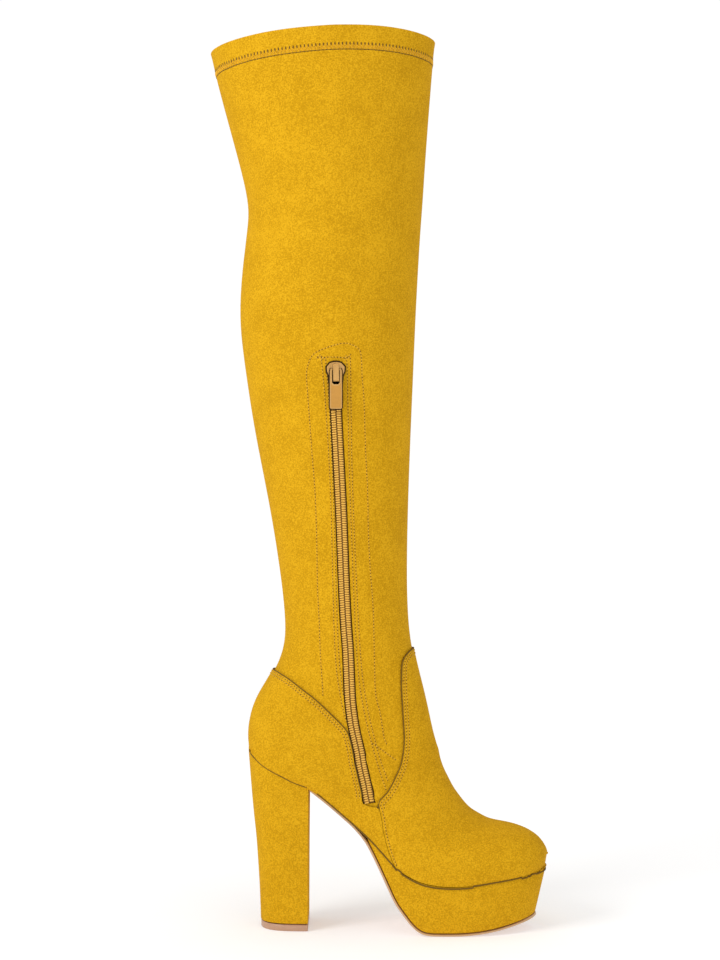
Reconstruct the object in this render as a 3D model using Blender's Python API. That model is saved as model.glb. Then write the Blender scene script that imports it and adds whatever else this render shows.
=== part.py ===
"""Thigh high platform boot, the left one of a pair.

X runs from heel to toe, Y to the outer side of the leg, Z up. The origin is the
centre of the heel tip's underside, on the floor. Lengths are metres.
"""
from math import acos, atan2, cos, pi, radians, sin, sqrt

import bmesh
import bpy
from mathutils import Matrix, Vector

# The last: the form that the upper is made over
FOOT_LENGTH = 0.2141
BALL_WIDTH = 0.0810
SEAT_WIDTH = 0.0520
HEEL_HEIGHT = 0.1287
BALL_HEIGHT = 0.0364
TOE_SPRING = 0.0079
INSTEP_HEIGHT = 0.0380
TOE_SWING = 0.0070
BACK_TO_TIP = 0.0251

# The shaft
ANKLE_RISE = 0.0933
SHAFT_HEIGHT = 0.4195
FRONT_LEAN = 0.0187
COLLAR_TIP = 0.0085
CALF_DEPTH = 0.1310
CALF_WIDTH = 0.1030

# Walls and clearances
UPPER_WALL = 0.0018
HEM_STEP = 0.0006
HEM_EDGE = 0.0004
OVERLAY_WALL = 0.0012
SEAT_GAP = 0.0003
HEEL_SEAT_GAP = 0.0004
INSOLE_GAP = 0.0012

# The sole
INSOLE_WALL = 0.0020
OUTSOLE_WALL = 0.0020
PLATFORM_ROLL = 0.0012
SHANK_INSET = 0.0012
HEEL_TIP_WALL = 0.0048
HEEL_TIP_LENGTH = 0.0350
HEEL_TIP_WIDTH = 0.0470
TIP_INSET = 0.0003

# The zip
SLOT_WIDTH = 0.0090
CHAIN_WIDTH = 0.0074
CHAIN_RISE = 0.0005
TAPE_WIDTH = 0.0160
TAPE_GAP = 0.0008
TAPE_WALL = 0.0007
SLIDER_LENGTH = 0.0150
SLIDER_WIDTH = 0.0127
SLIDER_NECK = 0.0094
SLIDER_WALL = 0.0022
SLIDER_DROP = 0.0070
BRIDGE_WIDTH = 0.0042
BRIDGE_LENGTH = 0.0125
BRIDGE_WALL = 0.0011
TUNNEL_RISE = 0.0022
PIN_RADIUS = 0.0007
PIVOT_DROP = 0.0052
PULL_WIDTH = 0.0086
PULL_LENGTH = 0.0285
PULL_WALL = 0.0014
WINDOW_WIDTH = 0.0054
WINDOW_LENGTH = 0.0112

# How finely the forms are divided
SIDE_CELLS = 12
ZIP_CELL = 5
ROUND_CELLS = 12
FINE_STEP = 0.02
EDGE_SPLITS = 1
CUT_STEPS = 20
CUT_MARGIN = 0.04

ANKLE_HEIGHT = HEEL_HEIGHT + ANKLE_RISE
OVERLAY_REACH = SEAT_GAP + OVERLAY_WALL

# Closed sections of the shaft, from the ankle up.
# rise: share of SHAFT_HEIGHT; tip: of COLLAR_TIP, how far the front lies above the back;
# lean: of FRONT_LEAN; depth: of CALF_DEPTH; width: of CALF_WIDTH;
# zip: where the zip runs, as a share of the way from back to front.
ANKLE_FRONT = 0.5423
SHAFT_SECTIONS = (
    # rise, tip, lean, depth, width, zip
    (1.0000, 1.00, 1.000, 1.247, 1.087, 0.550),
    (0.9570, 1.10, 0.965, 1.224, 1.080, 0.550),
    (0.8315, 0.60, 0.730, 1.085, 1.029, 0.550),
    (0.7470, 0.30, 0.600, 0.995, 0.980, 0.550),
    (0.7056, 0.10, 0.525, 0.977, 0.965, 0.548),
    (0.6627, 0.00, 0.450, 0.983, 0.971, 0.547),
    (0.5673, 0.00, 0.330, 1.000, 1.000, 0.545),
    (0.5006, 0.00, 0.260, 0.981, 0.981, 0.544),
    (0.4458, 0.00, 0.209, 0.951, 0.955, 0.542),
    (0.3647, 0.00, 0.128, 0.902, 0.907, 0.533),
    (0.2837, 0.00, 0.054, 0.843, 0.854, 0.528),
    (0.1788, 0.00, -0.027, 0.763, 0.777, 0.515),
    (0.0734, 0.00, -0.064, 0.708, 0.699, 0.502),
    (0.0000, 0.00, 0.000, 0.692, 0.660, 0.495),
)

# Closed sections round the heel, down to the back of the seat.
# back, front: shares of FOOT_LENGTH; back_rise, front_rise: of ANKLE_RISE over the seat;
# width: share of SEAT_WIDTH.
HEEL_SECTIONS = (
    # back, back_rise, front, front_rise, width, zip
    (0.1126, 0.786, 0.5525, 0.818, 1.308, 0.505),
    (0.0789, 0.614, 0.5670, 0.668, 1.292, 0.530),
    (0.0416, 0.475, 0.5824, 0.528, 1.277, 0.552),
    (0.0131, 0.357, 0.5964, 0.400, 1.258, 0.567),
    (-0.0028, 0.207, 0.6104, 0.250, 1.230, 0.580),
    (-0.0061, 0.089, 0.6226, 0.121, 1.210, 0.589),
    (0.0000, 0.000, 0.6347, 0.030, 1.192, 0.589),
)

# Open sections of the foot. Each starts on the sole's edge and rises to the ridge.
# base, ridge: shares of FOOT_LENGTH; over: of INSTEP_HEIGHT; width: of BALL_WIDTH.
FOOT_SECTIONS = (
    # base, ridge, over, width, zip
    (0.0192, 0.6404, 0.058, 0.760, 0.572),
    (0.0612, 0.6450, 0.090, 0.753, 0.547),
    (0.1172, 0.6534, 0.108, 0.746, 0.503),
    (0.1826, 0.6651, 0.118, 0.748, 0.438),
    (0.2480, 0.6791, 0.197, 0.758, 0.359),
    (0.2854, 0.6889, 0.262, 0.778, 0.303),
    (0.3508, 0.7104, 0.400, 0.820, 0.290),
    (0.4348, 0.7475, 0.592, 0.890, 0.280),
    (0.5002, 0.7828, 0.842, 0.957, 0.280),
    (0.5656, 0.8132, 0.953, 1.010, 0.280),
    (0.6310, 0.8412, 1.000, 1.032, 0.280),
    (0.6964, 0.8692, 0.984, 1.032, 0.280),
    (0.7618, 0.8996, 0.926, 0.995, 0.280),
    (0.8272, 0.9300, 0.826, 0.910, 0.280),
    (0.8879, 0.9580, 0.711, 0.775, 0.280),
    (0.9346, 0.9790, 0.587, 0.618, 0.280),
    (0.9673, 0.9930, 0.468, 0.440, 0.280),
    (0.9883, 1.0023, 0.368, 0.262, 0.280),
    (1.0000, 1.0075, 0.268, 0.000, 0.280),
)

FIRST_OPEN = len(SHAFT_SECTIONS) + len(HEEL_SECTIONS)
HEM_ROW = 1
ZIP_TOP_ROW = 8
ZIP_END_ROW = FIRST_OPEN + 5
PLATFORM_ROW = FIRST_OPEN + 8
LAST_ROW = FIRST_OPEN + len(FOOT_SECTIONS) - 1

# The edge where upper and sole meet, seen from the side.
# along: share of FOOT_LENGTH; rise: of the way from ball height to heel height;
# spring: of TOE_SPRING.
EDGE_PROFILE = (
    # along, rise, spring
    (-0.0100, 1.009, 0.00),
    (0.0000, 1.000, 0.00),
    (0.0350, 0.927, 0.00),
    (0.0940, 0.851, 0.00),
    (0.1550, 0.781, 0.00),
    (0.2013, 0.738, 0.00),
    (0.2620, 0.633, 0.00),
    (0.3320, 0.494, 0.00),
    (0.3790, 0.403, 0.00),
    (0.4115, 0.330, 0.00),
    (0.4414, 0.261, 0.00),
    (0.4850, 0.155, 0.00),
    (0.5240, 0.082, 0.00),
    (0.5670, 0.038, 0.00),
    (0.6080, 0.013, 0.00),
    (0.6710, 0.000, 0.00),
    (0.7580, 0.000, 0.13),
    (0.8220, 0.000, 0.37),
    (0.8880, 0.000, 0.58),
    (0.9570, 0.000, 0.87),
    (1.0000, 0.000, 1.00),
    (1.0300, 0.000, 1.10),
)

# The same edge from above. width: share of BALL_WIDTH; swing: of TOE_SWING, outwards.
EDGE_OUTLINE = (
    # along, width, swing
    (0.0000, 0.000, 0.00),
    (0.0080, 0.255, 0.00),
    (0.0192, 0.370, 0.00),
    (0.0612, 0.555, 0.00),
    (0.1172, 0.625, 0.05),
    (0.1826, 0.642, 0.15),
    (0.2480, 0.632, 0.28),
    (0.3030, 0.635, 0.35),
    (0.3692, 0.675, 0.38),
    (0.4348, 0.762, 0.32),
    (0.5002, 0.862, 0.20),
    (0.5656, 0.945, 0.08),
    (0.6310, 0.987, -0.02),
    (0.6964, 0.990, -0.12),
    (0.7618, 0.950, -0.27),
    (0.8272, 0.862, -0.48),
    (0.8879, 0.722, -0.70),
    (0.9346, 0.568, -0.85),
    (0.9673, 0.398, -0.95),
    (0.9883, 0.235, -1.00),
    (1.0000, 0.000, -1.00),
)

# The platform's underside. rise: share of the height from floor to sole edge.
UNDERSIDE = (
    # along, rise
    (0.3600, 1.000),
    (0.3925, 0.972),
    (0.4176, 0.910),
    (0.4442, 0.805),
    (0.4741, 0.647),
    (0.4993, 0.468),
    (0.5240, 0.342),
    (0.5540, 0.155),
    (0.5820, 0.033),
    (0.6076, 0.000),
    (0.6941, 0.000),
    (0.7580, 0.020),
    (0.8234, 0.068),
    (0.8683, 0.117),
    (0.9150, 0.170),
    (0.9794, 0.240),
    (1.0200, 0.280),
)

# Where the platform's walls stand, from its tail to the toe.
PLATFORM_STATIONS = (
    # top, bottom: shares of FOOT_LENGTH
    (0.3990, 0.3990),
    (0.4300, 0.4210),
    (0.4680, 0.4480),
    (0.5070, 0.4780),
    (0.5450, 0.5080),
    (0.5830, 0.5420),
    (0.6210, 0.5800),
    (0.6680, 0.6340),
    (0.7240, 0.6980),
    (0.7800, 0.7540),
    (0.8360, 0.8100),
    (0.8870, 0.8610),
    (0.9280, 0.9010),
    (0.9600, 0.9330),
    (0.9800, 0.9530),
    (0.9930, 0.9660),
    (1.0000, 0.9730),
)
PLATFORM_FLARE = 0.955

# The heel block. height: share of the seat's height at the breast. The others say how far the
# outline has gone from the seat's (back) or the tip's (length, width) to the other one.
HEEL_BREAST = 0.2013
HEEL_RINGS = (
    # height, back, length, width
    (0.000, 1.000, 0.000, 0.000),
    (0.220, 0.930, 0.090, 0.080),
    (0.450, 0.760, 0.240, 0.260),
    (0.640, 0.620, 0.430, 0.480),
    (0.780, 0.400, 0.650, 0.720),
)

# Edges of the two overlays, seen from the side.
# along: share of FOOT_LENGTH; rise: of the way from ball height to the ankle.
VAMP_EDGE = (
    # along, rise
    (0.5650, 0.9040),
    (0.5420, 0.8920),
    (0.5230, 0.8740),
    (0.5130, 0.8460),
    (0.5119, 0.7970),
    (0.5119, 0.7460),
    (0.5150, 0.6900),
    (0.5180, 0.6400),
    (0.5210, 0.5920),
    (0.5226, 0.5540),
    (0.5203, 0.5080),
    (0.5124, 0.4560),
    (0.4970, 0.4140),
    (0.4780, 0.3690),
    (0.4590, 0.3370),
    (0.4460, 0.3150),
    (0.4470, 0.2840),
    (0.4500, 0.2460),
    (0.4545, 0.2060),
    (0.4690, 0.1430),
    (0.4850, 0.0910),
    (0.5010, 0.0500),
)
COUNTER_EDGE = (
    # along, rise
    (0.0780, 0.8130),
    (0.1060, 0.8050),
    (0.1400, 0.7850),
    (0.1840, 0.7480),
    (0.2260, 0.7130),
    (0.2667, 0.6690),
    (0.3010, 0.6300),
    (0.3190, 0.6090),
    (0.3300, 0.5900),
    (0.3360, 0.5640),
    (0.3440, 0.5200),
    (0.3520, 0.4720),
    (0.3640, 0.4160),
    (0.3740, 0.3680),
    (0.3800, 0.3330),
    (0.3860, 0.3110),
    (0.3980, 0.2990),
    (0.4340, 0.2960),
)
SEAM_START = 16

# Half of the slider's plate, from its nose to its foot. across: share of its half width, which
# is the neck's where neck is 1; along: share of half its length, up from its middle.
SLIDER_OUTLINE = (
    # across, along, neck
    (0.190, 1.000, 0),
    (0.620, 0.920, 0),
    (1.000, 0.550, 0),
    (0.960, 0.120, 0),
    (1.000, -0.300, 1),
    (0.940, -1.000, 1),
)
BRIDGE_BEND = 0.00176
PULL_SHOULDER = 0.0020
PULL_NARROWING = 0.86
PULL_CORNER = 0.0008
WINDOW_CORNER = 0.0012
PIN_SIDES = 8
PIN_SHARE = 0.9
SHARP_ANGLE = radians(35)

COLOURS = {
    "suede": (0.66, 0.38, 0.015, 1.0),
    "sole": (0.62, 0.36, 0.22, 1.0),
    "tip": (0.58, 0.32, 0.24, 1.0),
    "board": (0.55, 0.42, 0.28, 1.0),
    "tape": (0.45, 0.24, 0.03, 1.0),
    "chain": (0.62, 0.36, 0.12, 1.0),
    "slider": (0.60, 0.36, 0.14, 1.0),
}


def clear_scene():
    for item in list(bpy.data.objects):
        bpy.data.objects.remove(item, do_unlink=True)


def material(name, roughness, metallic=0.0):
    made = bpy.data.materials.new(name)
    made.use_nodes = True
    shader = made.node_tree.nodes["Principled BSDF"]
    shader.inputs["Base Color"].default_value = COLOURS[name]
    shader.inputs["Roughness"].default_value = roughness
    shader.inputs["Metallic"].default_value = metallic
    made.diffuse_color = COLOURS[name]
    return made


def make_object(name, points, faces, finish):
    """A closed mesh with its faces turned outwards."""
    mesh = bpy.data.meshes.new(name)
    mesh.from_pydata([tuple(point) for point in points], [], faces)
    shape = bmesh.new()
    shape.from_mesh(mesh)
    bmesh.ops.recalc_face_normals(shape, faces=shape.faces)
    if shape.calc_volume(signed=True) < 0:
        bmesh.ops.reverse_faces(shape, faces=shape.faces)
    shape.to_mesh(mesh)
    shape.free()
    mesh.materials.append(finish)
    mesh.shade_smooth()
    mesh.set_sharp_from_angle(angle=SHARP_ANGLE)
    made = bpy.data.objects.new(name, mesh)
    bpy.context.collection.objects.link(made)
    return made


def smooth_curve(places, values):
    """A curve through the values that never overshoots them."""
    steps = [b - a for a, b in zip(places, places[1:])]
    slopes = [(b - a) / step for a, b, step in zip(values, values[1:], steps)]
    turns = [slopes[0]]
    for before, after in zip(slopes, slopes[1:]):
        same_way = before * after > 0
        turns.append(2 * before * after / (before + after) if same_way else 0.0)
    turns.append(slopes[-1])

    def value_at(place):
        if place <= places[0]:
            return values[0] + turns[0] * (place - places[0])
        if place >= places[-1]:
            return values[-1] + turns[-1] * (place - places[-1])
        cell = max(k for k in range(len(steps)) if places[k] <= place)
        share = (place - places[cell]) / steps[cell]
        rest = 1 - share
        return (values[cell] * (1 + 2 * share) * rest ** 2
                + turns[cell] * steps[cell] * share * rest ** 2
                + values[cell + 1] * share ** 2 * (3 - 2 * share)
                - turns[cell + 1] * steps[cell] * share ** 2 * rest)

    return value_at


def column(table, index):
    return [row[index] for row in table]


def along_foot(share):
    return share * FOOT_LENGTH - BACK_TO_TIP


def share_of_foot(x):
    return (x + BACK_TO_TIP) / FOOT_LENGTH


RISE_AT = smooth_curve(column(EDGE_PROFILE, 0), column(EDGE_PROFILE, 1))
SPRING_AT = smooth_curve(column(EDGE_PROFILE, 0), column(EDGE_PROFILE, 2))
SWING_AT = smooth_curve(column(EDGE_OUTLINE, 0), column(EDGE_OUTLINE, 2))
UNDER_AT = smooth_curve(column(UNDERSIDE, 0), column(UNDERSIDE, 1))


def edge_height(x):
    """Height of the edge where upper and sole meet."""
    share = share_of_foot(x)
    return BALL_HEIGHT + RISE_AT(share) * (HEEL_HEIGHT - BALL_HEIGHT) + SPRING_AT(share) * TOE_SPRING


def edge_bulge(share):
    """Takes the round ends out of the outline, so that what is left is smooth."""
    return 2 * sqrt(max(share * (1 - share), 0.0))


BULGE_ROWS = [row for row in EDGE_OUTLINE if 0 < row[0] < 1]
FULLNESS_AT = smooth_curve([row[0] for row in BULGE_ROWS],
                           [row[1] / edge_bulge(row[0]) for row in BULGE_ROWS])


def edge_half_width(x):
    share = share_of_foot(x)
    return FULLNESS_AT(share) * edge_bulge(share) * BALL_WIDTH / 2


def edge_centre(x):
    return SWING_AT(share_of_foot(x)) * TOE_SWING


def section_rows():
    """Each section's back point, front point, half width and zip place."""
    rows = []
    ankle_front = along_foot(ANKLE_FRONT)
    for rise, tip, lean, depth, width, zip_place in SHAFT_SECTIONS:
        front = ankle_front + lean * FRONT_LEAN
        height = ANKLE_HEIGHT + rise * SHAFT_HEIGHT
        rows.append((front - depth * CALF_DEPTH, height, front, height + tip * COLLAR_TIP,
                     width * CALF_WIDTH / 2, zip_place))
    for back, back_rise, front, front_rise, width, zip_place in HEEL_SECTIONS:
        rows.append((along_foot(back), HEEL_HEIGHT + back_rise * ANKLE_RISE,
                     along_foot(front), HEEL_HEIGHT + front_rise * ANKLE_RISE,
                     width * SEAT_WIDTH / 2, zip_place))
    for base, ridge, over, width, zip_place in FOOT_SECTIONS:
        start = along_foot(base)
        rows.append((start, edge_height(start), along_foot(ridge),
                     edge_height(start) + over * INSTEP_HEIGHT, width * BALL_WIDTH / 2, zip_place))
    return rows


ROWS = section_rows()
ROW_CURVES = [smooth_curve(list(range(len(ROWS))), column(ROWS, k)) for k in range(6)]
ZIP_END_RUN = ROWS[ZIP_END_ROW][2] - ROWS[ZIP_END_ROW][0]


class Section:
    """One section of the upper, at any row or between two."""

    def __init__(self, row):
        self.row = row
        back_x, back_z, front_x, front_z, self.half, self.zip_place = (
            curve(row) for curve in ROW_CURVES)
        self.centre = 0.0
        self.start = 0.0
        self.zip_run = ZIP_END_RUN if row > ZIP_END_ROW else front_x - back_x
        if row > FIRST_OPEN - 1:
            back_z = edge_height(back_x)
            edge = edge_half_width(back_x)
            self.centre = edge_centre(back_x)
            self.start = pi / 2
            if self.half > edge:
                self.start = atan2(edge, sqrt(self.half ** 2 - edge ** 2))
        self.back = Vector((back_x, self.centre, back_z))
        self.front = Vector((front_x, self.centre, front_z))

    def angle(self, share):
        """Angle round the section of a point that lies a share of the way to the front."""
        level = cos(self.start) - share * (1 + cos(self.start))
        return acos(max(-1.0, min(1.0, level)))

    def at_angle(self, side, angle):
        share = (cos(self.start) - cos(angle)) / (1 + cos(self.start))
        point = self.back.lerp(self.front, share)
        point.y += side * self.half * sin(angle)
        return point

    def at_share(self, side, share):
        return self.at_angle(side, self.angle(share))

    def zip_share(self, across):
        """Share of the way to the front of a point beside the zip's centre line."""
        return self.zip_place + across / self.zip_run


def grid_rows():
    """Rows of the upper's grid, finer round the seat, and two at the hem's edge."""
    rows = [0.0]
    for row in range(1, LAST_ROW + 1):
        if FIRST_OPEN <= row <= PLATFORM_ROW:
            rows.append(row - 0.5)
        if row == HEM_ROW:
            step = ROWS[0][1] - ROWS[HEM_ROW][1]
            rows += [row - HEM_EDGE / step, float(row)]
        else:
            rows.append(float(row))
    return rows


GRID_ROWS = grid_rows()


def side_angles(section, side):
    """Angles of the grid's lines on one side, from the back to the front."""
    first, last = section.start, pi
    if side > 0:
        return [first + (last - first) * k / SIDE_CELLS for k in range(SIDE_CELLS + 1)]
    slot = [section.angle(section.zip_share(across)) for across in (-SLOT_WIDTH / 2, SLOT_WIDTH / 2)]
    before = [first + (slot[0] - first) * k / ZIP_CELL for k in range(ZIP_CELL + 1)]
    left = SIDE_CELLS - ZIP_CELL - 1
    after = [slot[1] + (last - slot[1]) * k / left for k in range(left + 1)]
    return before + after


class Form:
    """The outer form of the upper as a grid of points with their normals."""

    def __init__(self):
        self.points = []
        self.rim = set()
        self.hem = set()
        self.cells = []
        self.added = {}
        self.cuts = {}
        lines = []
        for row in GRID_ROWS:
            lines.append(self.add_row(Section(row)))
        columns = len(lines[0])
        for i in range(len(lines) - 1):
            for j in range(columns - 1):
                corners = (lines[i][j], lines[i][j + 1], lines[i + 1][j + 1], lines[i + 1][j])
                at_toe = i == len(lines) - 2
                for loop in self.halves(corners, at_toe, j < SIDE_CELLS):
                    self.cells.append((i, j, loop))
        self.normals = self.vertex_normals()

    def halves(self, loop, at_toe, outer_side):
        """Splits a cell by its shorter diagonal, so that all layers fold the same way.

        At the toe the two sides share their last line, and mirror each other instead.
        """
        a, b, c, d = loop
        points = self.points
        first = (points[a] - points[c]).length <= (points[b] - points[d]).length
        if outer_side if at_toe else first:
            return [(a, b, c), (a, c, d)]
        return [(a, b, d), (b, c, d)]

    def add_point(self, point):
        self.points.append(point)
        return len(self.points) - 1

    def add_row(self, section):
        """Indices from the back, over the outer side to the front and back by the inner side."""
        outer = [section.at_angle(1, angle) for angle in side_angles(section, 1)]
        inner = [section.at_angle(-1, angle) for angle in side_angles(section, -1)]
        closed = section.row <= FIRST_OPEN - 1
        line = [self.add_point(point) for point in outer]
        if section.half <= 0:
            back = line[::-1]
        else:
            back = [line[-1]] + [self.add_point(point) for point in inner[-2:0:-1]]
            back.append(line[0] if closed else self.add_point(inner[0]))
        if section.row >= FIRST_OPEN - 1:
            self.rim.update((line[0], back[-1]))
        if section.row < HEM_ROW:
            self.hem.update(line + back)
        return line + back[1:]

    def vertex_normals(self):
        shape = bmesh.new()
        corners = [shape.verts.new(point) for point in self.points]
        for _, _, loop in self.cells:
            shape.faces.new([corners[k] for k in loop])
        shape.normal_update()
        normals = [corner.normal.copy() for corner in corners]
        shape.free()
        middle = max(range(len(normals)), key=lambda k: self.points[k].y)
        return normals if normals[middle].y > 0 else [-normal for normal in normals]

    def layer(self, distance, hem=0.0):
        """The form moved out by a distance, with its lower rim kept on the sole's edge."""
        moved = []
        for k, (point, normal) in enumerate(zip(self.points, self.normals)):
            place = point + normal * (distance + (hem if k in self.hem else 0.0))
            if k in self.rim:
                place.z = edge_height(place.x)
            moved.append(place)
        return moved

    def between(self, a, b, share):
        """A new point on the edge from a to b, shared by the cells on both its sides."""
        key = (a, b, share) if a < b else (b, a, 1 - share)
        if key not in self.added:
            self.added[key] = self.add_point(self.points[key[0]].lerp(self.points[key[1]], key[2]))
            self.normals.append(self.normals[key[0]].lerp(self.normals[key[1]], key[2]))
            for marked in (self.rim, self.hem):
                if a in marked and b in marked:
                    marked.add(self.added[key])
        return self.added[key]

    def split_along(self, loops, keep):
        """Halves the edges of each cell that the line of keep crosses."""
        signs = {k: keep(self.points[k]) > 0 for loop in loops for k in loop}
        halved = set()
        for a, b, c in loops:
            if len({signs[a], signs[b], signs[c]}) > 1:
                halved.update(frozenset(edge) for edge in ((a, b), (b, c), (c, a)))
        made = []
        for loop in loops:
            around = []
            for a, b in zip(loop, loop[1:] + loop[:1]):
                around.append(a)
                if frozenset((a, b)) in halved:
                    around.append(self.between(a, b, 0.5))
            made += self.fan(around, set(loop))
        return made

    def fan(self, around, corners):
        """Triangles of a cell whose edges hold up to three middle points."""
        if len(around) == 6:
            a, ab, b, bc, c, ca = around if around[0] in corners else around[1:] + around[:1]
            return [(a, ab, ca), (ab, b, bc), (bc, c, ca), (ab, bc, ca)]
        if len(around) > 3:
            while around[0] in corners:
                around = around[1:] + around[:1]
        return [(around[0], around[k], around[k + 1]) for k in range(1, len(around) - 1)]

    def crossing(self, a, b, keep):
        """The point where keep changes sign on the edge from a to b."""
        a, b = min(a, b), max(a, b)
        if (a, b) not in self.cuts:
            low, high = 0.0, 1.0
            sign = keep(self.points[a]) > 0
            for _ in range(CUT_STEPS):
                middle = (low + high) / 2
                if (keep(self.points[a].lerp(self.points[b], middle)) > 0) == sign:
                    low = middle
                else:
                    high = middle
            self.cuts[(a, b)] = self.between(a, b, max(CUT_MARGIN, min(1 - CUT_MARGIN, low)))
        return self.cuts[(a, b)]

    def trimmed(self, keep):
        """The cells where keep is positive, cut along the line where it changes sign."""
        self.cuts = {}
        loops = [loop for _, _, loop in self.cells]
        for _ in range(EDGE_SPLITS):
            loops = self.split_along(loops, keep)
        signs = {k: keep(self.points[k]) > 0 for loop in loops for k in loop}
        made = []
        for loop in loops:
            around = []
            for a, b in zip(loop, loop[1:] + loop[:1]):
                if signs[a]:
                    around.append(a)
                if signs[a] != signs[b]:
                    around.append(self.crossing(a, b, keep))
            made += [(around[0], around[k], around[k + 1]) for k in range(1, len(around) - 1)]
        return made

    def wall(self, name, inside, outside, finish, loops, hem=0.0):
        """A closed wall between two layers of the form."""
        count = len(self.points)
        points = self.layer(outside, hem) + self.layer(inside)
        faces = [tuple(loop) for loop in loops]
        faces += [tuple(count + k for k in reversed(loop)) for loop in loops]
        edges = {}
        for loop in loops:
            for a, b in zip(loop, loop[1:] + loop[:1]):
                edges[(a, b)] = edges.get((a, b), 0) + 1
        for a, b in edges:
            if (b, a) not in edges:
                faces.append((b, a, count + a, count + b))
        used = sorted({k for face in faces for k in face})
        place = {k: index for index, k in enumerate(used)}
        faces = [tuple(place[k] for k in face) for face in faces]
        return make_object(name, [points[k] for k in used], faces, finish)

    def in_slot(self, i, j):
        on_zip = j == 2 * SIDE_CELLS - ZIP_CELL - 1
        return on_zip and ZIP_TOP_ROW <= GRID_ROWS[i] < ZIP_END_ROW


def surface_frame(row, share):
    """A point of the inner side, with the ways outwards and along the zip's line."""
    section = Section(row)
    point = section.at_share(-1, share)
    forward = section.at_share(-1, share + FINE_STEP) - section.at_share(-1, share - FINE_STEP)
    up = (Section(row - FINE_STEP).at_share(-1, share)
          - Section(row + FINE_STEP).at_share(-1, share))
    out = up.cross(forward).normalized()
    if out.y > 0:
        out = -out
    return point, out


def zip_strip(name, rows, width, inside, outside, finish):
    """A strip that follows the zip's line on the inner side of the leg."""
    rings = []
    for row in rows:
        section = Section(row)
        ring = []
        for across, distance in ((-0.5, outside), (0.0, outside), (0.5, outside),
                                 (0.5, inside), (0.0, inside), (-0.5, inside)):
            point, out = surface_frame(row, section.zip_share(across * width))
            ring.append(point + out * distance)
        rings.append(ring)
    return loft(name, rings, finish)


def loft(name, rings, finish):
    """A closed solid through rings of equal length, with its two ends filled."""
    size = len(rings[0])
    points = [point for ring in rings for point in ring]
    faces = []
    for i in range(len(rings) - 1):
        for j in range(size):
            after = (j + 1) % size
            faces.append((i * size + j, i * size + after,
                          (i + 1) * size + after, (i + 1) * size + j))
    last = (len(rings) - 1) * size
    faces += cap(0, size) + cap(last, size)
    return make_object(name, points, faces, finish)


def cap(first, size):
    """Fills a ring by strips between its two sides, which mirror each other."""
    strips = []
    for k in range(size // 2 - 1):
        strips.append((first + k, first + k + 1, first + size - 2 - k, first + size - 1 - k))
    return strips


def outline_ring(stations, inset=0.0, straight=True):
    """Points along the outer side and back along the inner side.

    A station is x, half width and centre. The first end is cut straight, unless it is round,
    and the last comes to one blunt point. The inset moves the sides in at right angles.
    """
    sides = []
    way = 1 if stations[-1][0] > stations[0][0] else -1
    for side in (1, -1):
        places = [Vector((x, centre + side * half)) for x, half, centre in stations]
        moved = []
        for k, place in enumerate(places):
            before = places[max(k - 1, 0)]
            after = places[min(k + 1, len(places) - 1)]
            run = (after - before).normalized()
            inwards = Vector((run.y, -run.x)) * side * way
            if k == 0 and straight:
                inwards = Vector((0.0, -side))
            moved.append(place + inwards * inset)
        sides.append(moved)
    return sides[0] + sides[1][::-1]


def edge_stations(shares, reach, straight=True):
    """Stations of the sole edge's outline, moved out by a reach."""
    stations = [(along_foot(share), max(edge_half_width(along_foot(share)), 0.0),
                 edge_centre(along_foot(share))) for share in shares]
    ring = outline_ring(stations, -reach, straight)
    count = len(stations)
    made = []
    for k in range(count):
        outer, inner = ring[k], ring[2 * count - 1 - k]
        made.append(((outer.x + inner.x) / 2, (outer.y - inner.y) / 2, (outer.y + inner.y) / 2))
    return made


def blunt(stations, least=0.0012):
    """Keeps the round end wide enough to be a real face."""
    x, half, centre = stations[-1]
    return stations[:-1] + [(x, max(half, least), centre)]


def raise_ring(ring, height):
    return [Vector((point.x, point.y, height(point.x))) for point in ring]


def underside(x):
    """Lower side of the platform."""
    floor = OUTSOLE_WALL + SEAT_GAP
    share = max(0.0, min(1.0, UNDER_AT(share_of_foot(x))))
    return floor + share * (edge_height(x) - SEAT_GAP - floor)


def profile_offset(profile, distance):
    """A side profile moved down at right angles to its own run, its first end straight down."""
    moved = [(profile[0][0], profile[0][1] - distance)]
    for k, (x, z) in enumerate(profile[1:], 1):
        before = profile[k - 1]
        after = profile[min(k + 1, len(profile) - 1)]
        run = Vector((after[0] - before[0], after[1] - before[1])).normalized()
        moved.append((x + run.y * distance, z - run.x * distance))
    return moved


def make_upper(form, finishes):
    loops = [loop for i, j, loop in form.cells if not form.in_slot(i, j)]
    return form.wall("upper", -UPPER_WALL, 0.0, finishes["suede"], loops, hem=HEM_STEP)


def edge_line(table):
    """An overlay's edge as a place along the foot for each height."""
    rise = ANKLE_HEIGHT - BALL_HEIGHT
    places = [(along_foot(along), BALL_HEIGHT + share * rise) for along, share in table]

    def place_at(height):
        below = [k for k in range(1, len(places) - 1) if places[k][1] > height]
        k = below[-1] if below else 0
        (x, z), (next_x, next_z) = places[k], places[k + 1]
        return x + (next_x - x) * (height - z) / (next_z - z)

    return place_at


def make_vamp(form, finishes):
    edge = edge_line(VAMP_EDGE)
    loops = form.trimmed(lambda point: point.x - edge(point.z))
    return form.wall("vamp", SEAT_GAP, OVERLAY_REACH, finishes["suede"], loops)


def make_counter(form, finishes):
    gap = SEAT_GAP / FOOT_LENGTH
    seam = [(along - gap, rise) for along, rise in VAMP_EDGE[SEAM_START:]]
    edge = edge_line(list(COUNTER_EDGE) + seam)
    loops = form.trimmed(lambda point: edge(point.z) - point.x)
    return form.wall("counter", SEAT_GAP, OVERLAY_REACH, finishes["suede"], loops)


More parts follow.
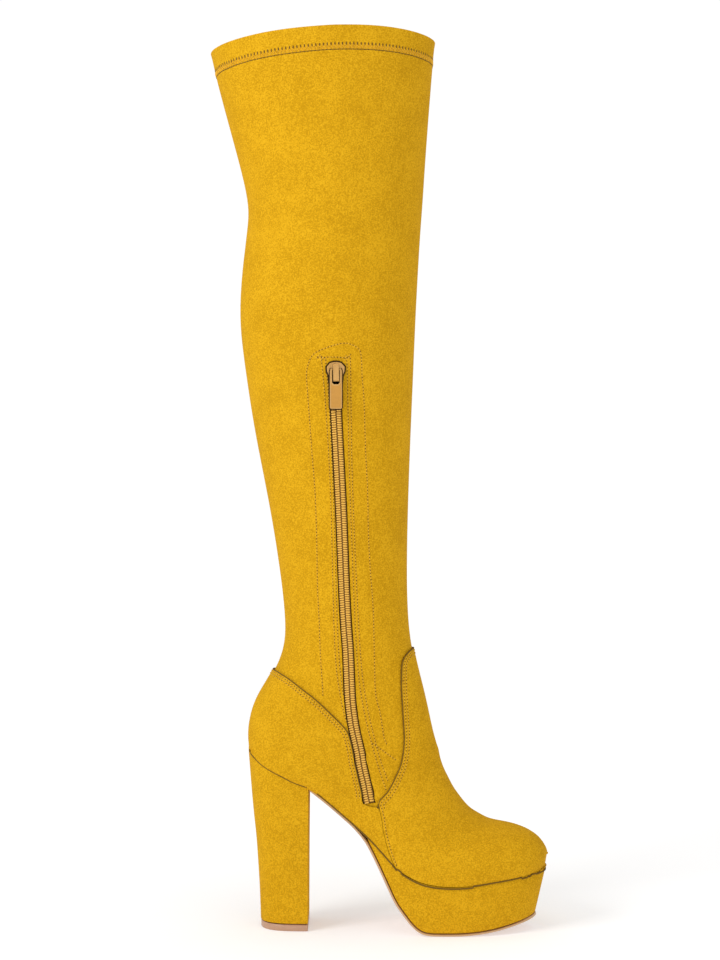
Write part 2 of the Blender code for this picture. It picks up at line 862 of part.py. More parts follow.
def make_insole(finishes):
    """The board that closes the inside, on the sole's edge."""
    shares = [0.5 - 0.5 * cos(pi * k / (2 * ROUND_CELLS)) for k in range(1, 2 * ROUND_CELLS)]
    inset = UPPER_WALL + INSOLE_GAP
    stations = edge_stations(shares, -inset, straight=False)
    profile = [(x, edge_height(x)) for x, _, _ in stations]
    top = profile_offset(profile, -INSOLE_WALL)
    rings = []
    for (x, half, centre), (low_x, low_z), (top_x, top_z) in zip(stations, profile, top):
        rings.append([Vector((low_x, centre - half, low_z)), Vector((low_x, centre + half, low_z)),
                      Vector((top_x, centre + half, top_z)), Vector((top_x, centre - half, top_z))])
    return loft("insole", rings, finishes["board"])


def platform_shares():
    """The platform's stations and one between each two, for its top and its underside."""
    count = len(PLATFORM_STATIONS)
    curves = [smooth_curve(list(range(count)), column(PLATFORM_STATIONS, k)) for k in (0, 1)]
    return [[curve(k / 2) for k in range(2 * count - 1)] for curve in curves]


def make_platform(finishes):
    """Covered block under the forefoot, with its tail up the shank."""
    top_shares, low_shares = platform_shares()
    top = blunt(edge_stations(top_shares, OVERLAY_REACH))
    low = []
    for (x, half, centre), share in zip(top, low_shares):
        back = x - along_foot(share)
        low.append((x - max(back, 0.0), half * PLATFORM_FLARE, centre))
    low[0] = (top[0][0], low[0][1], low[0][2])

    def upper_side(x):
        return edge_height(x) - SEAT_GAP

    roll = PLATFORM_ROLL
    rings = [raise_ring(outline_ring(top, roll), upper_side),
             raise_ring(outline_ring(top), lambda x: upper_side(x) - roll / 2),
             raise_ring(outline_ring(low), lambda x: underside(x) + roll / 2),
             raise_ring(outline_ring(low, roll), underside)]
    return loft("platform", rings, finishes["suede"])


def outsole_stations():
    """From the heel's breast, down the shank and under the platform to the toe."""
    shank = [HEEL_BREAST + SEAT_GAP / FOOT_LENGTH + step * 0.0320 for step in range(6)]
    stations = edge_stations(shank, OVERLAY_REACH - SHANK_INSET)
    top_shares, low_shares = platform_shares()
    for (x, half, centre), share in zip(edge_stations(top_shares, OVERLAY_REACH), low_shares):
        back = max(x - along_foot(share), 0.0)
        stations.append((x - back, half * PLATFORM_FLARE - PLATFORM_ROLL / 2, centre))
    return blunt(stations)


def make_outsole(finishes):
    stations = outsole_stations()
    profile = [(x, underside(x)) for x, _, _ in stations]
    upper_side = profile_offset(profile, SEAT_GAP)
    lower_side = profile_offset(profile, SEAT_GAP + OUTSOLE_WALL)
    rings = []
    for (_, half, centre), (top_x, top_z), (low_x, low_z) in zip(stations, upper_side, lower_side):
        low_z = max(low_z, 0.0)
        rings.append([Vector((low_x, centre - half, low_z)), Vector((low_x, centre + half, low_z)),
                      Vector((top_x, centre + half, top_z)), Vector((top_x, centre - half, top_z))])
    return loft("outsole", rings, finishes["sole"])


def heel_ring(blend_back, blend_length, blend_width, inset=0.0):
    """One level of the heel, between the tip's outline and the seat's."""
    shares = [HEEL_BREAST * (0.5 + 0.5 * cos(pi * k / ROUND_CELLS)) for k in range(ROUND_CELLS)]
    seat = blunt(edge_stations(shares + [0.0], OVERLAY_REACH))
    breast, back = seat[0][0], seat[-1][0]
    widest = max(half for _, half, _ in seat)
    tip_back = -HEEL_TIP_LENGTH / 2
    ring_back = back + (tip_back - back) * blend_back
    ring_front = HEEL_TIP_LENGTH / 2 + (breast - HEEL_TIP_LENGTH / 2) * blend_length
    ring_half = HEEL_TIP_WIDTH / 2 + (widest - HEEL_TIP_WIDTH / 2) * blend_width
    stations = []
    for x, half, centre in seat:
        share = (x - back) / (breast - back)
        stations.append((ring_back + share * (ring_front - ring_back),
                         half / widest * ring_half, centre * blend_width))
    return outline_ring(stations, inset)


def make_heel(finishes):
    foot = HEEL_TIP_WALL + SEAT_GAP
    rings = []
    for height, back, length, width in HEEL_RINGS:
        level = foot + height * (edge_height(along_foot(HEEL_BREAST)) - foot)
        rings.append([point.to_3d() + Vector((0, 0, level))
                      for point in heel_ring(back, length, width)])
    rings.append(raise_ring(heel_ring(0.0, 1.0, 1.0), lambda x: edge_height(x) - HEEL_SEAT_GAP))
    return loft("heel", rings, finishes["suede"])


def make_heel_tip(finishes):
    level = Vector((0, 0, HEEL_TIP_WALL))
    low = [point.to_3d() for point in heel_ring(1.0, 0.0, 0.0, TIP_INSET)]
    return loft("heel_tip", [low, [point + level for point in low]], finishes["tip"])


def zip_rows(first, last):
    """Rows for a strip along the zip."""
    inner = [row for row in GRID_ROWS if first < row < last]
    return [first] + inner + [last]


def row_at_height(height):
    """The row whose zip line passes a height on the shaft."""
    low, high = 0.0, float(FIRST_OPEN)
    for _ in range(40):
        middle = (low + high) / 2
        section = Section(middle)
        if section.at_share(-1, section.zip_place).z > height:
            low = middle
        else:
            high = middle
    return low


def slot_top():
    section = Section(ZIP_TOP_ROW)
    return section.at_share(-1, section.zip_place).z


def make_zip_tape(finishes):
    first = row_at_height(slot_top() + TAPE_WIDTH / 2)
    outside = -UPPER_WALL - TAPE_GAP
    return zip_strip("zip_tape", zip_rows(first, ZIP_END_ROW + 0.5), TAPE_WIDTH,
                     outside - TAPE_WALL, outside, finishes["tape"])


def make_zip_chain(finishes):
    first = row_at_height(slot_top() - SEAT_GAP)
    last = ZIP_END_ROW - 0.06
    return zip_strip("zip_chain", zip_rows(first, last), CHAIN_WIDTH,
                     -UPPER_WALL, CHAIN_RISE, finishes["chain"])


def slider_frame():
    """Place and turn of the slider: its own -Y points away from the leg, Z up the zip."""
    row = row_at_height(slot_top() - SLIDER_DROP)
    point, out = surface_frame(row, Section(row).zip_place)
    above = Section(row - 1).at_share(-1, Section(row - 1).zip_place)
    below = Section(row + 1).at_share(-1, Section(row + 1).zip_place)
    up = (above - below).normalized()
    across = up.cross(out).normalized()
    up = out.cross(across).normalized()
    turn = Matrix((-across, -out, up)).transposed()
    if turn.determinant() < 0:
        turn = Matrix((across, -out, up)).transposed()
    return Matrix.Translation(point) @ turn.to_4x4()


def prism(name, rings, frame, finish):
    """A closed piece between two like outlines."""
    size = len(rings[0])
    faces = [tuple(range(size)), tuple(range(size, 2 * size))]
    faces += [(k, (k + 1) % size, size + (k + 1) % size, size + k) for k in range(size)]
    return make_object(name, [frame @ point for ring in rings for point in ring], faces, finish)


def plate(name, outline, depth_from, depth_to, frame, finish):
    """A plate whose outline lies across and along the zip."""
    rings = [[Vector((x, -depth, z)) for x, z in outline] for depth in (depth_from, depth_to)]
    return prism(name, rings, frame, finish)


def mirrored(half_outline):
    return half_outline + [(-x, z) for x, z in reversed(half_outline)]


def join_solids(made, parts):
    """Joins more metal to a piece, as one body."""
    for part in parts:
        union = made.modifiers.new("join", "BOOLEAN")
        union.operation = "UNION"
        union.solver = "EXACT"
        union.object = part
        part.hide_render = True
        part.display_type = "WIRE"
    return made


def make_zip_slider(finishes):
    """A plate over the chain, wide at its shoulders, with a bridge for the pull tab."""
    frame = slider_frame()
    top = SLIDER_LENGTH / 2
    half, neck = SLIDER_WIDTH / 2, SLIDER_NECK / 2
    low = CHAIN_RISE + SEAT_GAP
    high = low + SLIDER_WALL
    body = mirrored([(across * (neck if at_neck else half), along * top)
                     for across, along, at_neck in SLIDER_OUTLINE])
    made = plate("zip_slider", body, low, high, frame, finishes["slider"])
    end = BRIDGE_LENGTH / 2
    sink = SLIDER_WALL / 2
    inner, outer = high + TUNNEL_RISE, high + TUNNEL_RISE + BRIDGE_WALL
    rise = [(high - sink, end), (outer - BRIDGE_WALL, end), (outer, end - BRIDGE_WALL),
            (outer, BRIDGE_WALL - end), (outer - BRIDGE_WALL, -end), (high - sink, -end),
            (high - sink, BRIDGE_WALL - end), (inner, BRIDGE_BEND - end),
            (inner, end - BRIDGE_BEND), (high - sink, end - BRIDGE_WALL)]
    rings = [[Vector((side * BRIDGE_WIDTH / 2, -depth, z)) for depth, z in rise]
             for side in (-1, 1)]
    return join_solids(made, [prism("slider_bridge", rings, frame, finishes["slider"])])


def pull_frame():
    """The hinge's place, with the pull tab hanging straight down."""
    frame = slider_frame()
    depth = CHAIN_RISE + SEAT_GAP + SLIDER_WALL + TUNNEL_RISE / 2
    pivot = frame @ Vector((0.0, -depth, SLIDER_LENGTH / 2 - PIVOT_DROP))
    axis = (frame.to_3x3() @ Vector((1.0, 0.0, 0.0)))
    axis.z = 0.0
    axis.normalize()
    down = Vector((0.0, 0.0, -1.0))
    out = down.cross(axis).normalized()
    if out.y > 0:
        out = -out
    turn = Matrix((-out.cross(-down), -out, -down)).transposed()
    if turn.determinant() < 0:
        turn = Matrix((out.cross(-down), -out, -down)).transposed()
    return Matrix.Translation(pivot) @ turn.to_4x4()


def make_zip_pull(finishes):
    """A frame round the bridge, with a pin under it and a long plate below."""
    frame = pull_frame()
    half, window = PULL_WIDTH / 2, WINDOW_WIDTH / 2
    top = PIN_RADIUS
    foot = top - PULL_LENGTH
    sill = top - WINDOW_LENGTH
    thick = PULL_WALL / 2
    outline = mirrored([(window, top), (half * PULL_NARROWING, top), (half, top - PULL_SHOULDER),
                        (half, foot + PULL_CORNER), (half - PULL_CORNER, foot)])
    outline += [(-window, sill + WINDOW_CORNER), (WINDOW_CORNER - window, sill),
                (window - WINDOW_CORNER, sill), (window, sill + WINDOW_CORNER)]
    made = plate("zip_pull", outline, -thick, thick, frame, finishes["slider"])
    reach = window + PULL_CORNER
    turns = [2 * pi * k / PIN_SIDES for k in range(PIN_SIDES)]
    rings = [[Vector((end * reach, PIN_RADIUS * PIN_SHARE * sin(turn),
                      PIN_RADIUS * PIN_SHARE * cos(turn))) for turn in turns] for end in (-1, 1)]
    return join_solids(made, [prism("pull_pin", rings, frame, finishes["slider"])])


def make_boot():
    clear_scene()
    finishes = {
        "suede": material("suede", 0.95),
        "sole": material("sole", 0.55),
        "tip": material("tip", 0.5),
        "board": material("board", 0.8),
        "tape": material("tape", 0.85),
        "chain": material("chain", 0.45),
        "slider": material("slider", 0.4),
    }
    form = Form()
    make_upper(form, finishes)
    make_vamp(form, finishes)
    make_counter(form, finishes)
    make_insole(finishes)
    make_platform(finishes)
    make_outsole(finishes)
    make_heel(finishes)
    make_heel_tip(finishes)
    make_zip_tape(finishes)
    make_zip_chain(finishes)
    make_zip_slider(finishes)
    make_zip_pull(finishes)


make_boot()
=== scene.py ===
"""Looks of a thigh high platform boot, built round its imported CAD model.

The file is laid out as an add-on and run as a script. Each operator makes one piece, or one
group of like pieces, in metres and in the frame of the CAD model.
"""

import math

import bmesh
import bpy
from bpy.props import FloatProperty, FloatVectorProperty, IntProperty, PointerProperty
from mathutils import Matrix, Vector
from mathutils.bvhtree import BVHTree


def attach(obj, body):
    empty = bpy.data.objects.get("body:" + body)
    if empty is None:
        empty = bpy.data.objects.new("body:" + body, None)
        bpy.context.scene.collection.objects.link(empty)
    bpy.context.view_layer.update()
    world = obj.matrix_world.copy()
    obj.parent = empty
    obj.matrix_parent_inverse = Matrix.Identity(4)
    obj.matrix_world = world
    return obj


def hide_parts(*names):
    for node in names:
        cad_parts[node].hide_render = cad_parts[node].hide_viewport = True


bl_info = {
    "name": "Thigh High Boot",
    "version": (1, 0, 0),
    "blender": (4, 5, 0),
    "location": "View3D > Sidebar > Boot",
    "description": "Dresses the CAD model of a suede thigh high platform boot",
    "category": "Object",
}

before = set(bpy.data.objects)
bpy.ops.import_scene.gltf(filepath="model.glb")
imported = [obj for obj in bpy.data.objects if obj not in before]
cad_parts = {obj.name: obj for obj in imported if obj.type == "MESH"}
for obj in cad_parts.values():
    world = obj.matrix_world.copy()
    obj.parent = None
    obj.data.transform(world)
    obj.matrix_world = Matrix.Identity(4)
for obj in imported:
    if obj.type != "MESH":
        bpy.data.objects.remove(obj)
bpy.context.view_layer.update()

BOOT = "boot"
PULL = "zip_pull"
SAME_PLACE = 0.00001

# The angles, in degrees, past which an edge is shaded sharp: on rolled suede, on walls and
# boards, and on metal. The last is the one past which an edge is kept from being rounded away.
ROLL_ANGLE = 60
WALL_ANGLE = 50
METAL_ANGLE = 40
CREASE_ANGLE = 40

# Steps from point to point along a drawn line of the zip, of its stitches and of a fold.
ZIP_STEPS = 12
PIXEL_STEPS = 8
CREASE_STEPS = 16

# The photograph's camera, level and square to the boot's inner side.
CAMERA_PLACE = Vector((0.0552, -1.400, 0.326))
CAMERA_LENS = 71.55
SENSOR_LENGTH = 36.0
PHOTO_MIDDLE = (360.0, 480.0)
PIXEL = SENSOR_LENGTH / 960 / CAMERA_LENS * abs(CAMERA_PLACE.y)

# A line through the middle of the hollow, from the collar to the toe.
HOLLOW_LINE = [Vector(place) for place in (
    (0.037, 0.0, 0.660),
    (0.035, 0.0, 0.410),
    (0.043, 0.0, 0.250),
    (0.045, 0.0, 0.180),
    (0.046, 0.0, 0.140),
    (0.075, 0.0, 0.096),
    (0.105, 0.0, 0.066),
    (0.150, -0.004, 0.053),
    (0.172, -0.008, 0.050),
)]

# Edges of the two overlays as seen from the side. x, z in millimetres.
VAMP_EDGE = (
    (95.9, 204.2), (90.9, 202.0), (86.9, 198.6), (84.7, 193.4), (84.5, 184.3), (84.5, 174.9),
    (85.2, 164.5), (85.8, 155.2), (86.4, 146.3), (86.8, 139.2), (86.3, 130.7), (84.6, 121.0),
    (81.3, 113.2), (77.2, 104.9), (73.2, 98.9), (67.7, 95.0), (69.4, 89.1), (71.2, 82.1),
    (72.2, 74.6), (75.3, 62.9), (78.7, 53.3), (82.2, 45.7),
)
COUNTER_EDGE = (
    (-8.4, 187.3), (-2.4, 185.8), (4.9, 182.1), (14.3, 175.2), (23.3, 168.7), (32.0, 160.6),
    (39.3, 153.3), (43.2, 149.4), (46.2, 145.9), (47.9, 141.1), (49.7, 132.9), (51.4, 124.0),
    (53.8, 113.6), (55.9, 104.7), (57.1, 98.2), (58.2, 94.1), (60.6, 91.9), (67.6, 91.3),
)
SEAM_START = 16
SEAM_GAP = 0.3

# The zip's middle line on the upper's outer face. x, z in millimetres.
ZIP_LINE = (
    (38.0, 400.0), (38.2, 375.0), (39.9, 341.0), (42.0, 297.0), (43.6, 252.8), (45.2, 222.0),
    (46.6, 203.5), (47.7, 175.7), (48.5, 164.3), (50.4, 150.3), (52.9, 138.8), (54.9, 129.5),
    (56.4, 120.4), (57.7, 114.4), (59.2, 108.2), (60.8, 100.0), (62.0, 94.2),
)

# Stitch rows round the zip, in pixels of the photograph.
ZIP_STITCHES = {
    "back_outer": ((316.6, 358), (322, 365), (330, 480), (334.5, 640), (340, 694), (348, 728)),
    "back_inner": ((321.0, 360), (326.4, 368), (332.7, 480), (338, 640), (343, 694)),
    "front_inner": ((344.5, 360), (347, 365), (349.6, 480), (356, 640), (362, 700), (374, 752),
                    (386, 790)),
    "front_outer": ((348.5, 358), (350.5, 365), (352.3, 480), (359.5, 640), (366, 700),
                    (378, 752), (388, 782)),
    "top_box": ((316.6, 358), (332, 357), (348.5, 358)),
    "facing_back": ((306.8, 383), (309.5, 419), (312, 454), (314.8, 489), (316.6, 534),
                    (317.5, 587), (319.3, 623), (320.2, 650), (322.9, 694)),
    "facing_top": ((306.8, 383), (306.8, 370), (312, 356), (323, 349), (340.7, 343.6),
                   (349.6, 344), (358.6, 349), (361.3, 358), (362, 376)),
    "facing_front": ((362, 376), (364, 401), (365.7, 454), (367.5, 489), (368.4, 534),
                     (370.2, 569), (372.9, 605), (373.8, 632), (374.6, 668), (375.6, 694),
                     (380.2, 713.5), (383.7, 736), (386, 743)),
    "ankle_tack": ((371.7, 742.7), (396.5, 760.4)),
}


def colour_property(title, told, value):
    return FloatVectorProperty(name=title, description=told, default=value, size=3, min=0,
                               max=1, subtype="COLOR")


def length_property(title, told, value, low, high):
    return FloatProperty(name=title, description=told, default=value, min=low, max=high,
                         unit="LENGTH")


class BootColours(bpy.types.PropertyGroup):
    """Colours of the boot, as plain linear values."""

    suede: colour_property("Suede", "Middle colour of the suede", (0.64, 0.335, 0.006))
    suede_dark: colour_property("Suede shade", "Brushed back nap", (0.53, 0.27, 0.004))
    suede_light: colour_property("Suede light", "Nap that catches light", (0.76, 0.415, 0.011))
    thread: colour_property("Thread", "Sewing thread", (0.79, 0.455, 0.026))
    sole: colour_property("Sole", "Thin outsole", (0.60, 0.37, 0.18))
    underside: colour_property("Sole underside", "Face of the outsole", (0.70, 0.52, 0.43))
    # The needle holes' colour is painted shade, the dark that falls in the holes.
    hole: colour_property("Needle hole", "Dark of the needle holes", (0.16, 0.075, 0.004))
    tip: colour_property("Heel tip", "Heel tip", (0.52, 0.30, 0.19))
    lining: colour_property("Lining", "Inside of the upper and the insole", (0.62, 0.46, 0.28))
    tape: colour_property("Tape", "Zip tape beside the teeth", (0.20, 0.090, 0.008))
    teeth: colour_property("Teeth", "Zip teeth", (0.84, 0.48, 0.080))
    slider: colour_property("Slider", "Zip slider and the tab's rim", (0.62, 0.34, 0.095))
    tab: colour_property("Tab", "Sunk middle of the pull tab", (0.60, 0.29, 0.05))


class BootSizes(bpy.types.PropertyGroup):
    """Sizes of the boot's fine parts."""

    smoothness: IntProperty(name="Smoothness", description="Subdivisions of the upper",
                            default=2, min=1, max=3)
    upper_wall: length_property("Upper wall", "Thickness of the upper", 0.0018, 0.001, 0.003)
    overlay_wall: length_property("Overlay wall", "Thickness of an overlay",
                                  0.0014, 0.0006, 0.002)
    stitch_pitch: length_property("Stitch pitch", "From stitch to stitch", 0.0023, 0.001, 0.005)
    stitch_length: length_property("Stitch length", "Length of one stitch",
                                   0.0014, 0.0005, 0.004)
    thread_width: length_property("Thread width", "Thickness of the thread",
                                  0.00070, 0.0002, 0.001)
    hem_height: length_property("Hem height", "From the collar's edge to its seam",
                                0.0172, 0.01, 0.03)
    hem_band: length_property("Hem band", "Height of the hem's crossed stitches",
                              0.0040, 0.002, 0.008)
    tooth_pitch: length_property("Tooth pitch", "From tooth to tooth", 0.0017, 0.0008, 0.003)
    chain_width: length_property("Chain width", "Width over both rows of teeth",
                                 0.0070, 0.004, 0.01)


class Value:
    """One socket of a material, so that sums on it are written as plain expressions."""

    def __init__(self, finish, socket):
        self.finish = finish
        self.socket = socket

    def maths(self, operation, first, second):
        return self.finish.node("ShaderNodeMath", {"operation": operation},
                                {0: first, 1: second})

    def __add__(self, other):
        return self.maths("ADD", self, other)

    def __radd__(self, other):
        return self.maths("ADD", other, self)

    def __sub__(self, other):
        return self.maths("SUBTRACT", self, other)

    def __rsub__(self, other):
        return self.maths("SUBTRACT", other, self)

    def __mul__(self, other):
        return self.maths("MULTIPLY", self, other)

    def __rmul__(self, other):
        return self.maths("MULTIPLY", other, self)


class Finish:
    """A material that is built up node by node."""

    def __init__(self, name, constants=None):
        self.material = bpy.data.materials.new(name)
        self.material.use_nodes = True
        self.tree = self.material.node_tree
        self.shader = self.tree.nodes["Principled BSDF"]
        for socket, value in (constants or {}).items():
            self.shader.inputs[socket].default_value = value
        self.place = self.node("ShaderNodeTexCoord", {}, {}, "Object")

    def feed(self, socket, value):
        if isinstance(value, Value):
            self.tree.links.new(value.socket, socket)
        else:
            socket.default_value = value

    def node(self, kind, settings, sockets, output=0):
        made = self.tree.nodes.new(kind)
        for name, value in settings.items():
            setattr(made, name, value)
        for name, value in sockets.items():
            self.feed(made.inputs[name], value)
        return Value(self, made.outputs[output])

    def noise(self, grain, detail=3.0, stretch=(1.0, 1.0, 1.0)):
        """Noise about 0.5, its grain given in metres."""
        place = self.node("ShaderNodeMapping", {}, {"Vector": self.place, "Scale": stretch})
        return self.node("ShaderNodeTexNoise", {"noise_dimensions": "3D"},
                         {"Vector": place, "Scale": 1.0 / grain, "Detail": detail,
                          "Roughness": 0.6})

    def ramp(self, value, low, high, top=1.0):
        """A value's rise from low to high, as 0 to top."""
        return self.node("ShaderNodeMapRange", {}, {"Value": value, "From Min": low,
                                                    "From Max": high, "To Max": top})

    def blend(self, share, first, second):
        return self.node("ShaderNodeMix", {"data_type": "RGBA"},
                         {"Factor": share, 6: first, 7: second}, 2)

    def bump(self, height, strength, depth):
        made = self.node("ShaderNodeBump", {}, {"Height": height, "Strength": strength,
                                               "Distance": depth})
        self.feed(self.shader.inputs["Normal"], made)

    def colour(self, value):
        self.feed(self.shader.inputs["Base Color"], value)

    def roughness(self, value):
        self.feed(self.shader.inputs["Roughness"], value)


def opaque(colour, share=1.0):
    """A share of a colour, with full alpha."""
    return (*[min(1.0, part * share) for part in colour], 1.0)


# Suede: its layers of noise, blotches, streaks and nap, and the tones between which it turns
# from dark to middle and from middle to light.
SUEDE_LAYERS = (
    # grain, detail, stretch, weight
    (0.026, 2.0, (1.0, 1.0, 1.0), 0.75),
    (0.0050, 2.0, (1.0, 1.0, 0.75), 0.6),
    (0.0010, 2.0, (1.0, 1.0, 1.0), 3.5),
)
SUEDE_LOW = (0.10, 0.52)
SUEDE_HIGH = (0.48, 0.95)


def suede_finish(name, colours, shade=1.0):
    """Napped faux suede: soft blotches, brushed streaks and a fine short nap."""
    finish = Finish(name, {"Sheen Weight": 0.22, "Sheen Roughness": 0.35,
                           "Sheen Tint": opaque(colours.suede_light), "IOR": 1.3,
                           "Specular IOR Level": 0.2})
    tone = 0.5
    layers = []
    for grain, detail, stretch, weight in SUEDE_LAYERS:
        layers.append(finish.noise(grain, detail, stretch))
        tone = tone + (layers[-1] - 0.5) * weight
    _, streaks, nap = layers
    low = finish.ramp(tone, *SUEDE_LOW)
    high = finish.ramp(tone, *SUEDE_HIGH)
    # A shade under one darkens every tone, which paints shade.
    shaded = finish.blend(low, opaque(colours.suede_dark, shade), opaque(colours.suede, shade))
    finish.colour(finish.blend(high, shaded, opaque(colours.suede_light, shade)))
    finish.roughness(0.97 - streaks * 0.1)
    finish.bump(nap * 0.7 + streaks * 0.3, 0.45, 0.0005)
    return finish.material


def plain_finish(name, colour, roughness, grain, constants=None):
    """A smooth moulded or painted surface with faint unevenness."""
    finish = Finish(name, constants)
    uneven = finish.noise(grain)
    finish.colour(finish.blend(uneven, opaque(colour, 0.88), opaque(colour, 1.10)))
    finish.roughness(roughness - 0.08 + uneven * 0.16)
    finish.bump(uneven, 0.25, 0.0001)
    return finish.material


# The scale at which a wave texture has one band a metre.
WAVE_SCALE = 0.314


def cloth_finish(name, colour, pitch):
    """A close woven cloth, its threads crossing at a given pitch."""
    finish = Finish(name)
    across, along = [finish.node("ShaderNodeTexWave", {"bands_direction": direction},
                                 {"Vector": finish.place, "Scale": WAVE_SCALE / pitch,
                                  "Distortion": 1.5, "Detail": 1.0}, 1)
                     for direction in ("Z", "X")]
    weave = across * along
    soft = finish.noise(0.004, 2.0)
    finish.colour(finish.blend(weave * 0.6 + soft * 0.4, opaque(colour, 0.75),
                               opaque(colour, 1.15)))
    finish.roughness(0.95 - soft * 0.1)
    finish.bump(weave, 0.5, 0.0002)
    return finish.material


def deselect():
    if bpy.context.object and bpy.context.object.mode != "OBJECT":
        bpy.ops.object.mode_set(mode="OBJECT")
    bpy.ops.object.select_all(action="DESELECT")


def choose(made):
    deselect()
    made.select_set(True)
    bpy.context.view_layer.objects.active = made


def edit_all(made):
    """Opens an object for editing, all of it selected."""
    choose(made)
    bpy.ops.object.mode_set(mode="EDIT")
    bpy.ops.mesh.select_all(action="SELECT")


def new_object(name, points, faces):
    mesh = bpy.data.meshes.new(name)
    mesh.from_pydata([tuple(point) for point in points], [], faces)
    mesh.update()
    made = bpy.data.objects.new(name, mesh)
    bpy.context.collection.objects.link(made)
    return made


def copy_of(mesh, name):
    """An object with a bare copy of a mesh's points and faces."""
    return new_object(name, [corner.co for corner in mesh.vertices],
                      [tuple(face.vertices) for face in mesh.polygons])


def merged_copy(node, name):
    """A copy of a CAD node, its loose triangles joined and paired to four-sided faces."""
    made = copy_of(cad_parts[node].data, name)
    edit_all(made)
    bpy.ops.mesh.remove_doubles(threshold=SAME_PLACE)
    bpy.ops.mesh.tris_convert_to_quads(face_threshold=1.0, shape_threshold=1.0)
    bpy.ops.object.mode_set(mode="OBJECT")
    return made


def apply_modifier(made, kind, settings):
    modifier = made.modifiers.new(kind.lower(), kind)
    for name, value in settings.items():
        setattr(modifier, name, value)
    choose(made)
    bpy.ops.object.modifier_apply(modifier=modifier.name)


def shade(made, degrees):
    choose(made)
    bpy.ops.object.shade_smooth_by_angle(angle=math.radians(degrees))


def crease_edges(made, degrees, weight):
    """Keeps the edges that turn by more than an angle from being rounded away."""
    shape = bmesh.new()
    shape.from_mesh(made.data)
    layer = shape.edges.layers.float.new("crease_edge")
    for edge in shape.edges:
        if edge.calc_face_angle(0.0) > math.radians(degrees):
            edge[layer] = weight
    shape.to_mesh(made.data)
    shape.free()


def smooth_through(made, levels, rounds=2):
    """Subdivides a mesh. Each round brings the smooth surface back to the mesh's own corners."""
    goals = [corner.co.copy() for corner in made.data.vertices]
    modifier = made.modifiers.new("smooth", "SUBSURF")
    modifier.levels = levels
    modifier.render_levels = levels
    for _ in range(rounds):
        smooth = made.evaluated_get(bpy.context.evaluated_depsgraph_get()).data
        places = [smooth.vertices[k].co.copy() for k in range(len(goals))]
        for corner, goal, place in zip(made.data.vertices, goals, places):
            corner.co += goal - place
        made.data.update()
    choose(made)
    bpy.ops.object.modifier_apply(modifier=modifier.name)


def soften(made, rounds):
    """Evens out a shell between its rims."""
    shape = bmesh.new()
    shape.from_mesh(made.data)
    inner = [corner for corner in shape.verts if not corner.is_boundary]
    for _ in range(rounds):
        bmesh.ops.smooth_vert(shape, verts=inner, factor=0.5, use_axis_x=True,
                              use_axis_y=True, use_axis_z=True)
    shape.to_mesh(made.data)
    shape.free()


def nearest_in_hollow(place):
    """The nearest point of the line through the hollow."""
    found = []
    for start, end in zip(HOLLOW_LINE, HOLLOW_LINE[1:]):
        share = (place - start).dot(end - start) / (end - start).length_squared
        found.append(start.lerp(end, max(0.0, min(1.0, share))))
    return min(found, key=lambda point: (point - place).length)


# The hem's foot on the shaft, the ledge that is smoothed away there, and the turn past which a
# corner of a rim stays sharp.
HEM_FOOT = 0.60
HEM_LEDGE = 0.0009
SHARP_TURN = math.radians(125)

# The collar's arch: where it starts and how tall it is, its middle and its reach to back and
# front, how far its middle rises and its ends fall, and how it bends.
COLLAR_FOOT = 0.540
COLLAR_REACH = 0.110
COLLAR_MIDDLE = 0.038
COLLAR_BACK = 0.090
COLLAR_FRONT = 0.070
COLLAR_ARCH = 0.0006
COLLAR_DROP = 0.0038
COLLAR_BEND = 2.2

SOFT_ROUNDS = 16


def outer_face(node, name):
    """The outer face of a hollow CAD node, as an open shell."""
    made = merged_copy(node, name)
    shape = bmesh.new()
    shape.from_mesh(made.data)
    shape.normal_update()
    inner = {corner for corner in shape.verts
             if corner.normal.dot(corner.co - nearest_in_hollow(corner.co)) < 0}
    gone = [face for face in shape.faces if any(corner in inner for corner in face.verts)]
    bmesh.ops.delete(shape, geom=gone, context="FACES")
    hem = [corner for corner in shape.verts if corner.co.z > HEM_FOOT]
    bmesh.ops.remove_doubles(shape, verts=hem, dist=HEM_LEDGE)
    layer = shape.verts.layers.float.new("crease_vert")
    for corner in shape.verts:
        rim = [edge.other_vert(corner).co - corner.co for edge in corner.link_edges
               if edge.is_boundary]
        if len(rim) == 2 and rim[0].angle(rim[1]) < SHARP_TURN:
            corner[layer] = 1.0
    shape.to_mesh(made.data)
    shape.free()
    return made


def raise_collar(made):
    """Arches the collar: it is lowest at its back and front."""
    for corner in made.data.vertices:
        height = max(0.0, min(1.0, (corner.co.z - COLLAR_FOOT) / COLLAR_REACH))
        away = corner.co.x - COLLAR_MIDDLE
        out = away / COLLAR_FRONT if away > 0 else -away / COLLAR_BACK
        fall = (COLLAR_ARCH + COLLAR_DROP) * out ** COLLAR_BEND
        corner.co.z += height ** 2 * (COLLAR_ARCH - fall)
    made.data.update()


def leg_form(name, sizes):
    """A new shell with the leg's smooth outer form. The form is worked out once and kept."""
    if "leg_form" not in bpy.data.meshes:
        shell = outer_face("upper", "leg_form")
        smooth_through(shell, sizes.smoothness)
        soften(shell, SOFT_ROUNDS)
        raise_collar(shell)
        press_creases(shell)
        shell.data.name = "leg_form"
        shell.data.use_fake_user = True
        bpy.data.objects.remove(shell)
    return copy_of(bpy.data.meshes["leg_form"], name)


